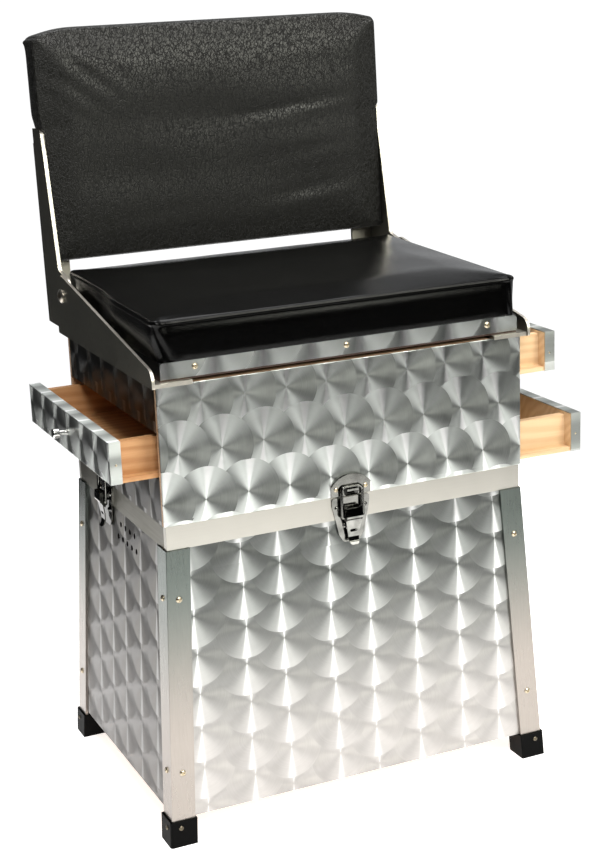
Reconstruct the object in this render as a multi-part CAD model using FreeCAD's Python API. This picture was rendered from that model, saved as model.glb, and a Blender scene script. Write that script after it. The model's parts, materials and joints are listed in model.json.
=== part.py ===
"""Fishing seat box: an aluminium bait bin, a three-drawer unit on top of it, and a padded
seat with a backrest that folds forward.

Millimetres. +X points right as the box is seen from the front, +Y to the back, +Z up.
Everything is modelled about the middle of the box, with the floor at z = 0. At the end it is
moved so that the origin is the middle of the lowest face of the box round all its pieces.
"""
import FreeCAD, Part
import math
import os

V = FreeCAD.Vector

# Box
BOX_WIDTH = 400.0  # bin top and drawer unit, outside, along X
BOX_DEPTH = 282.0  # the same along Y
BIN_TOP = 307.0  # top of the posts and panels
BIN_BASE = 26.0  # height at which the two spreads are measured
SPREAD_X = 16.0  # how far each side of the bin stands out further at its base
SPREAD_Y = 14.0

# Bin
POST_LEG = 25.0
POST_T = 3.0
POST_EDGE_R = 0.8
PANEL_T = 3.0
LONG_PANEL_Z = 27.5  # lower edges of the front and back panels
SIDE_PANEL_Z = 30.5
FLOOR_Z = 31.0
FLOOR_T = 6.0
RIM_HEIGHT = 24.7
RIM_T = 6.5
RIM_INSET = 1.5  # from the posts' outer faces
RIM_EDGE_R = 0.5

# Feet
FOOT_HEIGHT = 27.0
FOOT_FLOOR = 4.0
FOOT_WALL = 2.2  # outside the post
FOOT_LIP = 1.6  # past the ends of the post's legs
FOOT_EDGE_R = 3.0
FOOT_END_R = 1.0

# Vents in the left panel
VENT_D = 6.0
VENT_PITCH = 14.3
VENT_UPPER_DROP = 14.5  # from the bin's top
VENT_ROW_PITCH = 15.0
VENT_UPPER_Y = 3.2  # rearmost hole of each row
VENT_LOWER_Y = 11.6
VENT_UPPER_COUNT = 4
VENT_LOWER_COUNT = 5

# Screws
SCREW_HEAD_D = 6.4
SCREW_HEAD_H = 1.7
SCREW_SHANK_D = 3.0
SCREW_LENGTH = 6.0
SCREW_PLAY = 0.04  # radial, round every shank
RECESS_LONG = 3.4
RECESS_WIDE = 0.9
RECESS_DEEP = 1.0
POST_SCREW_EDGE = 12.5  # from the post's outer edge
POST_SCREW_DROP = 50.0  # from the bin's top
POST_SCREW_RISE_FRONT = 51.0  # from the bin's base
POST_SCREW_RISE_SIDE = 52.0
FOOT_SCREW_EDGE = 11.0
FOOT_SCREW_Z_FRONT = 20.0
FOOT_SCREW_Z_SIDE = 18.6
FOOT_SCREW_HEAD_D = 5.0
FOOT_SCREW_HEAD_H = 1.3

# Drawer unit
LIFT_GAP = 0.3  # between the rim and the unit
FACE_SHEET = 1.5
WALL_BOARD = 4.0
SHELF_T = 3.7
END_BOARD_T = 2.1
DRAWER_GAP = 0.4  # above and below a drawer front
SIDE_GAP = 0.5  # at each end of a drawer front
LAYERS = 3

# Drawers
FRONT_HEIGHT = 42.0
FRONT_T = 12.0  # board and facing together
FACING_T = 1.0
DRAWER_SIDE_T = 8.0
DRAWER_SIDE_INSET = 13.5  # from the front's end to the drawer side
DRAWER_SIDE_DROP = 4.0  # from the front's top to the drawer side's top
DRAWER_BASE_T = 4.5
DRAWER_BASE_INSET = 2.0
DRAWER_END_GAP = 3.0  # behind the closed drawer
OPEN_BOTTOM = 79.0  # how far each drawer stands open
OPEN_MIDDLE = 48.5
OPEN_TOP = 46.0
KNOB_LENGTH = 16.0
KNOB_HEAD_D = 10.0
KNOB_HEAD_L = 7.0
KNOB_NECK_D = 5.0
KNOB_COLLAR_D = 7.0
KNOB_COLLAR_L = 2.0
KNOB_FACE_R = 1.6
KNOB_BACK_BEVEL = 0.6

# Seat
CROWN_STEPS = 4  # rings over a crowned cushion face and round its edges
BRACKET_OUT = 6.5  # the brackets' outer faces past the unit's ends
BRACKET_PAST = 9.0  # past the unit's front and back
BRACKET_T = 3.0
BRACKET_FLANGE_T = 4.0
BRACKET_FLANGE_WIDTH = 38.5
BRACKET_FLANGE_END = 2.0  # from the side's ends
BRACKET_FRONT_H = 16.5
BRACKET_REAR_H = 70.0
BRACKET_FRONT_R = 13.0
BRACKET_REAR_R = 22.0
BRACKET_LOW_REAR_R = 2.0
BRACKET_LOW_FRONT_R = 1.0
FLANGE_SCREW_IN = 21.5  # from the bracket's side
FLANGE_SCREW_PITCH = 100.0
SEAT_BOARD_END = 5.0  # each end of the seat board, inside the unit's end
SEAT_BOARD_REAR = 5.0  # its rear edge, inside the unit's back
SEAT_BOARD_T = 18.0
CUSHION_SIDE = 1.0  # the cushion past the ends of the seat board
CUSHION_OVERHANG = 3.0  # and past its front
CUSHION_EDGE_H = 42.0  # at the front
CUSHION_RISE = 7.0  # how much higher its seam lies at the rear
CUSHION_CROWN = 2.5
CUSHION_CROWN_RUN = 92.0  # in from the seam to where the top lies flat
CUSHION_CORNER_R = 5.0
CUSHION_FOOT_IN = 1.5  # drawn in at the foot
CUSHION_FOOT_H = 6.0
CUSHION_DRAWN = 1.4  # how far its sides bow in
TRIM_T = 1.5
TRIM_HEIGHT = 16.0
TRIM_CORNER_R = 4.0
TRIM_SCREW_END = 35.0  # from the strip's ends
TRIM_SCREW_DROP = 6.5

# Pivot of the backrest
PIVOT_FROM_BACK = 13.0  # forward of the unit's back
PIVOT_RISE = 44.0  # above the unit's top
PIVOT_D = 8.0
PIVOT_HEAD_D = 15.0
PIVOT_HEAD_H = 3.6
PIVOT_NUT_D = 13.0
PIVOT_NUT_T = 2.0
PIVOT_NUT_GAP = 0.2  # from the arm's inner face
PIVOT_PLAY = 0.05  # radial, round the bolt

# Backrest, measured up from the foot of the arms and forward from their rear face
ARM_GAP = 0.3  # between an arm and its bracket
ARM_T = 4.0
ARM_BEHIND_PIVOT = 69.0  # rear face at its foot
ARM_FOOT_GAP = 0.3
ARM_LENGTH = 212.0
ARM_TOP_DEPTH = 31.0
ARM_NECK_DEPTH = 54.0
ARM_NECK_UP = 62.0
ARM_TOP_R = 9.0
ARM_NECK_R = 6.0
ARM_CORNER_R = 1.5
ARM_BOSS_R = 17.0
ARM_FLANGE_WIDTH = 24.2
ARM_FLANGE_TOP = 196.0
ARM_NOTCH = 2.0  # the rear edge is set forward above the flange
BACK_LEAN = 2.8  # degrees
BACK_BOARD_T = 9.0
BACK_BOARD_IN = 7.2  # from the arms' inner faces
BACK_BOARD_LOW = 76.0
BACK_BOARD_HIGH = 300.0
BACK_LOW = 68.0
BACK_HIGH = 316.5
BACK_T = 34.0  # from the board's rear face, which the pad is wrapped round
BACK_CROWN = 3.0
BACK_CROWN_RUN = 55.0  # in from the front face's edge to where it lies flat
BACK_EDGE_R = 12.0  # round of the front edges, along the depth
BACK_EDGE_IN = 9.0  # and across it
BACK_REAR_IN = 1.5  # drawn in at the rear
BACK_REAR_RUN = 4.0
BACK_CORNER_R = 8.0
BACK_DRAWN = 1.5  # how far its sides bow in
BACK_PLAY = 0.3  # between the pad and the arms beside and below it
BACK_SHOULDER = 8.0
BACK_SHOULDER_RUN = 35.0
BACK_SCREW_UP = (96.0, 176.0)
BACK_SCREW_IN = 12.2  # from the arms' inner faces
BACK_SCREW_HEAD_D = 9.0
BACK_SCREW_HEAD_H = 2.2
BACK_SCREW_SHANK_D = 4.0
BACK_SCREW_LENGTH = 10.0

# Latches, measured out from the rim's face
LATCH_LEFT_Y = 42.0  # place of the left latch along the box
LATCH_SHEET = 1.5
LATCH_PIVOT_OUT = 6.5
LATCH_PIVOT_DROP = 13.7  # below the rim's top
LATCH_PIN_D = 3.0
LATCH_PLAY = 0.05
LATCH_PIN_END = 0.2  # past the lever's walls, up to its heads
LATCH_PIN_HEAD_T = 0.6
LATCH_PIN_HEAD_STEP = 0.5
LATCH_ARM = 8.0  # from the lever's pivot down to the loop's eye
LATCH_OVER = 1.0  # the eye lies this much inside the pivot
LEVER_HALF = 9.0
LEVER_WALL = 1.2
LEVER_TOP = 2.5  # above the pivot
LEVER_LENGTH = 36.5  # below the pivot
LEVER_TOP_OUT = 10.8  # its skin from the rim's face, from the top down
LEVER_BROW_OUT = 11.6
LEVER_CHIN_OUT = 11.0
LEVER_STEP_OUT = 8.6
LEVER_MIDDLE_OUT = 6.6
LEVER_HEEL_OUT = 6.2
LEVER_TOE_OUT = 7.4
LEVER_TIP_OUT = 9.8
LEVER_BROW = 6.5  # the same places below the pivot
LEVER_CHIN = 8.2
LEVER_STEP = 10.5
LEVER_MIDDLE = 22.0
LEVER_HEEL = 29.0
LEVER_TOE = 33.5
LEVER_BROW_R = 2.0
LEVER_STEP_R = 1.5
LEVER_MIDDLE_R = 8.0
LEVER_HEEL_R = 4.0
LEVER_SHOULDER = 11.0  # its outline below the pivot, seen from the front
LEVER_WAIST = 18.0
LEVER_TAPER = 31.0
LEVER_HALF_WAIST = 7.6
LEVER_HALF_TAPER = 5.6
LEVER_HALF_TIP = 5.0
LEVER_SHOULDER_R = 3.0
LEVER_WAIST_R = 6.0
LEVER_TAPER_R = 5.0
LEVER_TIP_R = 3.5
LEVER_SLOT_HALF = 4.0
LEVER_SLOT = 20.6  # below the pivot
LEVER_SLOT_H = 3.0
LEVER_SLOT_R = 1.3
LEVER_WALL_IN = 3.0  # the walls beside the pin
LEVER_WALL_LOW = 12.0
LEVER_WALL_LOW_OUT = 8.0
LEVER_WALL_KNEE_OUT = 11.2
LEVER_WALL_KNEE = 7.0
LEVER_WALL_R = 1.5
EAR_IN = 6.2
EAR_T = 1.5
EAR_R = 2.7
EAR_FOOT = 1.8  # how far the ear widens downward at the plate
EAR_BACK = 1.2  # its upper edge falls back from here, clear of the opening lever
LOOP_D = 3.2
LOOP_HALF = 11.7  # to the middle of the wire
LOOP_CORNER_R = 4.6
LOOP_EYE_R = 1.8
LOOP_BAR_OUT = 4.7
HOOK_RISE = 8.3  # above the unit's lower edge
HOOK_GAP = 0.2
HOOK_HALF = 6.5
HOOK_OUT = 8.0
HOOK_NOSE = 2.0
HOOK_FOOT_OUT = 1.5
HOOK_TOP_R = 0.4
HOOK_NOSE_R = 0.8
KEEPER_T = 1.2
KEEPER_HALF = 22.0
KEEPER_FOOT = 0.5  # its lower edge above the unit's
KEEPER_RISE = 23.0  # its top above the unit's lower edge
KEEPER_SHOULDER_RISE = 12.0
KEEPER_LIP = 2.2
KEEPER_LIP_OUT = 3.0
KEEPER_SCREW_X = 16.4
KEEPER_SCREW_RISE = 8.0
BASE_DROP = 1.2  # its top below the rim's
BASE_HEIGHT = 47.5
BASE_HALF_TOP = 21.0
BASE_HALF_KNEE = 17.0
BASE_HALF_WAIST = 14.0
BASE_HALF_LOW = 9.0
BASE_SIDE = 8.5  # from its top down to where the sides draw in
BASE_KNEE = 25.5
BASE_WAIST = 39.5
BASE_TOP_R = 3.0
BASE_BEND_R = 6.0
BASE_LOW_R = 4.0
BASE_SCREW_HIGH_X = 15.7
BASE_SCREW_HIGH = 10.5  # from its top
BASE_SCREW_LOW_X = 7.7
BASE_SCREW_LOW = 29.7
RIVET_D = 5.0
RIVET_HEAD_H = 1.2
RIVET_LENGTH = 6.0

# Heights and half sizes that follow
HALF_X = BOX_WIDTH / 2
HALF_Y = BOX_DEPTH / 2
RIM_TOP = BIN_TOP + RIM_HEIGHT
UNIT_Z = RIM_TOP + LIFT_GAP
VENT_ROWS = ((BIN_TOP - VENT_UPPER_DROP, VENT_UPPER_Y, VENT_UPPER_COUNT),
             (BIN_TOP - VENT_UPPER_DROP - VENT_ROW_PITCH, VENT_LOWER_Y, VENT_LOWER_COUNT))
POST_SCREW_TOP = BIN_TOP - POST_SCREW_DROP
LAYER_PITCH = FRONT_HEIGHT + SHELF_T + 2 * DRAWER_GAP
FIRST_FRONT_Z = UNIT_Z + END_BOARD_T + DRAWER_GAP
UNIT_TOP = FIRST_FRONT_Z + LAYERS * LAYER_PITCH - SHELF_T - DRAWER_GAP + END_BOARD_T
WALL_IN_Y = HALF_Y - FACE_SHEET - WALL_BOARD
FRONT_HALF = WALL_IN_Y - SIDE_GAP
BLANK_X = HALF_X - FRONT_T
BRACKET_OUTER = HALF_X + BRACKET_OUT
BRACKET_END = HALF_Y + BRACKET_PAST
SEAT_Z = UNIT_TOP + BRACKET_FLANGE_T
SEAT_HALF = HALF_X - SEAT_BOARD_END
SEAT_REAR = HALF_Y - SEAT_BOARD_REAR
CUSHION_Z = SEAT_Z + SEAT_BOARD_T
CUSHION_HALF = SEAT_HALF + CUSHION_SIDE
PIVOT_Y = HALF_Y - PIVOT_FROM_BACK
PIVOT_Z = UNIT_TOP + PIVOT_RISE
ARM_OUTER = BRACKET_OUTER - BRACKET_T - ARM_GAP
ARM_INNER = ARM_OUTER - ARM_T
ARM_FOOT_Y = PIVOT_Y + ARM_BEHIND_PIVOT
ARM_FOOT_Z = SEAT_Z + ARM_FOOT_GAP
LATCH_PIVOT_Z = RIM_TOP - LATCH_PIVOT_DROP
LATCH_EYE_OUT = LATCH_PIVOT_OUT - LATCH_OVER
LATCH_EYE_Z = LATCH_PIVOT_Z - LATCH_ARM
HOOK_TOP = UNIT_Z + HOOK_RISE
LOOP_BAR_Z = HOOK_TOP + HOOK_GAP + LOOP_D / 2
KEEPER_TOP = UNIT_Z + KEEPER_RISE
KEEPER_SHOULDER = UNIT_Z + KEEPER_SHOULDER_RISE
KEEPER_SCREW_Z = UNIT_Z + KEEPER_SCREW_RISE
BASE_TOP = RIM_TOP - BASE_DROP
BASE_LOW = BASE_TOP - BASE_HEIGHT


def block(x0, x1, y0, y1, z0, z1):
    """Box between two corners."""
    return Part.makeBox(x1 - x0, y1 - y0, z1 - z0, V(x0, y0, z0))


def spread(z):
    """How far the bin's sides stand out past the top at a height, along X and Y."""
    share = (BIN_TOP - z) / (BIN_TOP - BIN_BASE)
    return SPREAD_X * share, SPREAD_Y * share


def hull_of_rectangles(low, high):
    """Solid between two level rectangles, each (x0, x1, y0, y1, z)."""
    rings = []
    for x0, x1, y0, y1, z in (low, high):
        rings.append([V(x0, y0, z), V(x1, y0, z), V(x1, y1, z), V(x0, y1, z)])
    faces = [Part.Face(Part.makePolygon(ring + ring[:1])) for ring in rings]
    for i in range(4):
        j = (i + 1) % 4
        corners = [rings[0][i], rings[0][j], rings[1][j], rings[1][i], rings[0][i]]
        faces.append(Part.Face(Part.makePolygon(corners)))
    return outward(Part.Solid(Part.Shell(faces)))


def outward(solid):
    """The same solid with its faces turned outward."""
    if solid.Volume < 0:
        solid.reverse()
    return solid


def sloped_block(x0, x1, y0, y1, z0, z1):
    """Block whose corners follow the bin's spread. Each of the four sides is given as its
    offset from the middle at the bin's top, and moves out with the side it is nearest."""
    rectangles = []
    for z in (z0, z1):
        sx, sy = spread(z)
        row = [x0 + math.copysign(sx, x0), x1 + math.copysign(sx, x1)]
        row += [y0 + math.copysign(sy, y0), y1 + math.copysign(sy, y1), z]
        rectangles.append(row)
    return hull_of_rectangles(*rectangles)


def rounded_edges(corners, to_space):
    """Edges of a closed outline through (a, b, radius) corners, each with its own round."""
    arcs = []
    for i, (a, b, radius) in enumerate(corners):
        here = V(a, b, 0)
        before = V(corners[i - 1][0], corners[i - 1][1], 0) - here
        after = V(*corners[(i + 1) % len(corners)][:2], 0) - here
        before.normalize()
        after.normalize()
        half = before.getAngle(after) / 2
        reach = radius / math.tan(half)
        inner = (before + after).normalize() * (radius / math.sin(half) - radius) if radius else V()
        arcs.append((here + before * reach, here + inner, here + after * reach, radius))
    edges = []
    for i, (start, middle, end, radius) in enumerate(arcs):
        if radius:
            edges.append(Part.Arc(*[to_space(p.x, p.y) for p in (start, middle, end)]).toShape())
        following = arcs[(i + 1) % len(arcs)][0]
        if (following - end).Length > 1e-6:
            edges.append(Part.makeLine(to_space(end.x, end.y), to_space(following.x, following.y)))
    return edges


def plate(corners, to_space, thickness):
    """Flat plate: a rounded outline pushed along a vector."""
    return Part.Face(Part.Wire(rounded_edges(corners, to_space))).extrude(thickness)


def side_plate(corners, x0, x1):
    """Plate with an outline of (y, z, radius) corners between two x."""
    return plate(corners, lambda a, b: V(x0, a, b), V(x1 - x0, 0, 0))


def front_plate(corners, out, thickness):
    """Plate with an outline of (x, z, radius) corners that faces the front: its rear face
    lies at y = -out."""
    return plate(corners, lambda a, b: V(a, -out, b), V(0, -thickness, 0))


def rod(start, direction, radius, length):
    return Part.makeCylinder(radius, length, start, direction)


def turned_to(shape, start, direction):
    """Moves a shape that stands on the origin along +Z so that it stands on start."""
    shape.Placement = FreeCAD.Placement(start, FreeCAD.Rotation(V(0, 0, 1), direction))
    return shape


def pan_screw(start, direction, head_d=SCREW_HEAD_D, head_h=SCREW_HEAD_H,
              shank_d=SCREW_SHANK_D, length=SCREW_LENGTH, slots=2):
    """Screw whose domed head rests on a face at start, with its outward direction."""
    r = head_d / 2
    rim = head_h * 0.35
    profile = [
        Part.makeLine(V(0, 0, 0), V(r, 0, 0)),
        Part.makeLine(V(r, 0, 0), V(r, 0, rim)),
        Part.Arc(V(r, 0, rim), V(r * 0.72, 0, head_h * 0.86), V(0, 0, head_h)).toShape(),
        Part.makeLine(V(0, 0, head_h), V(0, 0, 0)),
    ]
    head = outward(Part.Face(Part.Wire(profile)).revolve(V(), V(0, 0, 1), 360))
    screw = head.fuse(rod(V(), V(0, 0, -1), shank_d / 2, length)).removeSplitter()
    size = head_d / SCREW_HEAD_D
    for turn in range(slots):
        slot = block(-RECESS_LONG * size / 2, RECESS_LONG * size / 2, -RECESS_WIDE * size / 2,
                     RECESS_WIDE * size / 2, head_h - RECESS_DEEP * size, head_h + 1)
        slot.rotate(V(), V(0, 0, 1), 90 * turn)
        screw = screw.cut(slot)
    return turned_to(screw, start, direction)


def shank(start, direction, shank_d=SCREW_SHANK_D, length=SCREW_LENGTH):
    """Hole for a screw, a little past both ends of its shank."""
    unit = V(direction).normalize()
    return rod(start + unit, unit * -1, shank_d / 2 + SCREW_PLAY, length + 1.0 + SCREW_PLAY)


def drilled(shape, holes):
    """Shape with the holes that reach it."""
    near = [hole for hole in holes if hole.BoundBox.intersect(shape.BoundBox)]
    return shape.cut(near) if near else shape


def corners_of_box():
    """The bin's four corners as (name, x sign, y sign)."""
    return [("front_left", -1, -1), ("front_right", 1, -1), ("back_left", -1, 1), ("back_right", 1, 1)]


# Bin


def post(x_sign, y_sign):
    """Angle section that leans with the bin, its outer corner on the bin's edge."""
    low_x, low_y = spread(FOOT_FLOOR)
    foot = V(x_sign * (HALF_X + low_x), y_sign * (HALF_Y + low_y), FOOT_FLOOR)
    top = V(x_sign * HALF_X, y_sign * HALF_Y, BIN_TOP)
    shape = [(0, 0, POST_EDGE_R), (POST_LEG, 0, 0), (POST_LEG, POST_T, 0), (POST_T, POST_T, 0),
             (POST_T, POST_LEG, 0), (0, POST_LEG, 0)]

    def to_space(a, b):
        return foot + V(-x_sign * a, -y_sign * b, 0)

    return outward(plate(shape, to_space, top - foot))


def foot(x_sign, y_sign, post_solid):
    """Plastic shoe round the lower end of a post."""
    ring = []
    for z in (0.0, FOOT_HEIGHT):
        sx, sy = spread(z)
        x = HALF_X + sx + FOOT_WALL
        y = HALF_Y + sy + FOOT_WALL
        ring.append(V(x_sign * x, y_sign * y, z))
    size = FOOT_WALL + POST_LEG + FOOT_LIP
    outline = [(0, 0, FOOT_EDGE_R), (size, 0, FOOT_END_R), (size, size, FOOT_EDGE_R),
               (0, size, FOOT_END_R)]

    def to_space(a, b):
        return ring[0] + V(-x_sign * a, -y_sign * b, 0)

    shoe = outward(plate(outline, to_space, ring[1] - ring[0]))
    return shoe.cut(post_solid)


def bin_screw_places():
    """Start and outward direction of each screw in the posts and feet, and the head of
    those in the feet."""
    places = []
    out_x = V(BIN_TOP - BIN_BASE, 0, SPREAD_X).normalize()
    out_y = V(0, BIN_TOP - BIN_BASE, SPREAD_Y).normalize()
    for _, x_sign, y_sign in corners_of_box():
        for z in (POST_SCREW_TOP, BIN_BASE + POST_SCREW_RISE_FRONT):
            sx, sy = spread(z)
            x = x_sign * (HALF_X + sx - POST_SCREW_EDGE)
            places.append((V(x, y_sign * (HALF_Y + sy), z), V(0, y_sign * out_y.y, out_y.z)))
        for z in (POST_SCREW_TOP, BIN_BASE + POST_SCREW_RISE_SIDE):
            sx, sy = spread(z)
            y = y_sign * (HALF_Y + sy - POST_SCREW_EDGE)
            places.append((V(x_sign * (HALF_X + sx), y, z), V(x_sign * out_x.x, 0, out_x.z)))
        head = (FOOT_SCREW_HEAD_D, FOOT_SCREW_HEAD_H)
        sx, sy = spread(FOOT_SCREW_Z_FRONT)
        x = x_sign * (HALF_X + sx + FOOT_WALL - FOOT_SCREW_EDGE)
        low = V(x, y_sign * (HALF_Y + sy + FOOT_WALL), FOOT_SCREW_Z_FRONT)
        places.append((low, V(0, y_sign * out_y.y, out_y.z), *head))
        sx, sy = spread(FOOT_SCREW_Z_SIDE)
        y = y_sign * (HALF_Y + sy + FOOT_WALL - FOOT_SCREW_EDGE)
        low = V(x_sign * (HALF_X + sx + FOOT_WALL), y, FOOT_SCREW_Z_SIDE)
        places.append((low, V(x_sign * out_x.x, 0, out_x.z), *head))
    return places


def bin_panels():
    """The four panels inside the posts, the left one with its vents."""
    inner = PANEL_T + POST_T
    x = HALF_X - POST_T
    y_out = HALF_Y - POST_T
    y_in = HALF_Y - inner
    panels = {}
    for name, sign in (("bin_front_panel", -1), ("bin_back_panel", 1)):
        near, far = sorted((sign * y_out, sign * y_in))
        panels[name] = sloped_block(-x, x, near, far, LONG_PANEL_Z, BIN_TOP)
    for name, sign in (("bin_left_panel", -1), ("bin_right_panel", 1)):
        near, far = sorted((sign * x, sign * (x - PANEL_T)))
        panels[name] = sloped_block(near, far, -y_in, y_in, SIDE_PANEL_Z, BIN_TOP)
    vents = []
    for z, rear_y, count in VENT_ROWS:
        for i in range(count):
            start = V(-HALF_X - SPREAD_X, rear_y - i * VENT_PITCH, z)
            vents.append(rod(start, V(1, 0, 0), VENT_D / 2, SPREAD_X + 3 * inner))
    panels["bin_left_panel"] = panels["bin_left_panel"].cut(vents)
    return panels


def bin_floor():
    inner = POST_T + PANEL_T
    return sloped_block(inner - HALF_X, HALF_X - inner, inner - HALF_Y, HALF_Y - inner,
                        FLOOR_Z, FLOOR_Z + FLOOR_T)


def rims():
    """Flat bars on edge round the bin's mouth; the front and back ones run past the others."""
    x = HALF_X - RIM_INSET
    y = HALF_Y - RIM_INSET
    bars = {
        "rim_front": block(-x, x, -y, -y + RIM_T, BIN_TOP, RIM_TOP),
        "rim_back": block(-x, x, y - RIM_T, y, BIN_TOP, RIM_TOP),
        "rim_left": block(-x, -x + RIM_T, RIM_T - y, y - RIM_T, BIN_TOP, RIM_TOP),
        "rim_right": block(x - RIM_T, x, RIM_T - y, y - RIM_T, BIN_TOP, RIM_TOP),
    }
    for name in ("rim_front", "rim_back"):
        side = -1 if name == "rim_front" else 1
        edges = [e for e in bars[name].Edges
                 if all(abs(v.Y - side * y) < 0.01 for v in e.Vertexes)]
        bars[name] = bars[name].makeFillet(RIM_EDGE_R, edges)
    for name in ("rim_left", "rim_right"):
        side = -1 if name == "rim_left" else 1
        edges = [e for e in bars[name].Edges if e.Length > RIM_HEIGHT + 1
                 and all(abs(v.X - side * x) < 0.01 for v in e.Vertexes)]
        bars[name] = bars[name].makeFillet(RIM_EDGE_R, edges)
    return bars


# Latches: built facing the front with the rim's face at y = 0, then put in place


def to_front_latch(shape):
    shape.translate(V(0, RIM_INSET - HALF_Y, 0))
    return shape


def to_left_latch(shape):
    shape.rotate(V(), V(0, 0, 1), -90)
    shape.translate(V(RIM_INSET - HALF_X, LATCH_LEFT_Y, 0))
    return shape


def latch_side(corners, x0, x1):
    """Plate with an outline of (out, z, radius) corners between two x."""
    return plate(corners, lambda a, b: V(x0, -a, b), V(x1 - x0, 0, 0))


def latch_holes():
    """Places of the screws of one latch: those in its keeper, then those in its base."""
    keeper = [V(side * KEEPER_SCREW_X, -RIM_INSET - KEEPER_T, KEEPER_SCREW_Z) for side in (-1, 1)]
    base = []
    for side in (-1, 1):
        base.append(V(side * BASE_SCREW_HIGH_X, -LATCH_SHEET, BASE_TOP - BASE_SCREW_HIGH))
        base.append(V(side * BASE_SCREW_LOW_X, -LATCH_SHEET, BASE_TOP - BASE_SCREW_LOW))
    return keeper, base


def latch_keeper():
    """Plate on the drawer unit with a raised lip and the hook that the loop's bar sits on."""
    half = KEEPER_HALF
    low = UNIT_Z + KEEPER_FOOT
    rise = KEEPER_TOP - KEEPER_SHOULDER
    radius = (half * half + rise * rise) / (2 * rise)
    middle = KEEPER_TOP - radius
    back = RIM_INSET

    def arch(r, depth, out):
        """Solid under a round arch of radius r."""
        x = math.sqrt(r * r - (KEEPER_SHOULDER - middle) ** 2)
        ends = [V(-x, -out, KEEPER_SHOULDER), V(x, -out, KEEPER_SHOULDER)]
        over = Part.Arc(ends[0], V(0, -out, middle + r), ends[1]).toShape()
        feet = [V(x, -out, low), V(-x, -out, low)]
        lines = [Part.makeLine(ends[1], feet[0]), Part.makeLine(*feet), Part.makeLine(feet[1], ends[0])]
        return outward(Part.Face(Part.Wire([over] + lines)).extrude(V(0, -depth, 0)))

    sheet = arch(radius, KEEPER_T, back)
    lip = arch(radius, KEEPER_LIP_OUT, back).cut(arch(radius - KEEPER_LIP, KEEPER_LIP_OUT, back))
    lip = lip.cut(block(-half - 1, half + 1, -20, 0, low - 1, KEEPER_SHOULDER))
    front = back + KEEPER_T
    hook = latch_side([(back, low, 0), (back, HOOK_TOP, 0), (HOOK_OUT, HOOK_TOP, HOOK_TOP_R),
                       (HOOK_OUT, HOOK_TOP - HOOK_NOSE, HOOK_NOSE_R), (front + HOOK_FOOT_OUT, low, 0)],
                      -HOOK_HALF, HOOK_HALF)
    keeper = sheet.fuse([lip, outward(hook)]).removeSplitter()
    holes, _ = latch_holes()
    return keeper.cut([shank(p, V(0, -1, 0)) for p in holes])


def latch_base():
    """Plate on the rim with two ears for the lever's pin."""
    left = [(-BASE_HALF_TOP, BASE_TOP, BASE_TOP_R),
            (-BASE_HALF_TOP, BASE_TOP - BASE_SIDE, BASE_BEND_R),
            (-BASE_HALF_KNEE, BASE_TOP - BASE_KNEE, BASE_BEND_R),
            (-BASE_HALF_WAIST, BASE_TOP - BASE_WAIST, BASE_BEND_R),
            (-BASE_HALF_LOW, BASE_LOW, BASE_LOW_R)]
    outline = left + [(-x, z, r) for x, z, r in reversed(left)]
    base = outward(front_plate(outline, 0, LATCH_SHEET))
    low, high = LATCH_PIVOT_Z - EAR_R, LATCH_PIVOT_Z + EAR_R
    ear_end = LATCH_PIVOT_OUT + EAR_R
    ear = [(LATCH_SHEET / 2, low - EAR_FOOT, 0), (ear_end, low, EAR_R * 0.95),
           (ear_end, high, EAR_R * 0.95), (LATCH_PIVOT_OUT - EAR_BACK, high, EAR_BACK / 2),
           (LATCH_SHEET / 2, LATCH_PIVOT_Z - EAR_BACK / 2, 0)]
    for side in (-1, 1):
        x0, x1 = sorted((side * EAR_IN, side * (EAR_IN + EAR_T)))
        base = base.fuse(outward(latch_side(ear, x0, x1)))
    base = base.removeSplitter()
    _, holes = latch_holes()
    base = base.cut([shank(p, V(0, -1, 0)) for p in holes])
    return base.cut(rod(V(-LEVER_HALF, -LATCH_PIVOT_OUT, LATCH_PIVOT_Z), V(1, 0, 0),
                        LATCH_PIN_D / 2 + SCREW_PLAY, 2 * LEVER_HALF))


def latch_pin():
    """Pin through the ears and the lever, with a small head outside each lever wall."""
    start = V(-LEVER_HALF - LATCH_PIN_END, -LATCH_PIVOT_OUT, LATCH_PIVOT_Z)
    length = 2 * (LEVER_HALF + LATCH_PIN_END)
    pin = rod(start, V(1, 0, 0), LATCH_PIN_D / 2, length)
    head_r = LATCH_PIN_D / 2 + LATCH_PIN_HEAD_STEP
    for x in (start.x - LATCH_PIN_HEAD_T, start.x + length):
        pin = pin.fuse(rod(V(x, start.y, start.z), V(1, 0, 0), head_r, LATCH_PIN_HEAD_T))
    return pin.removeSplitter()


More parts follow.
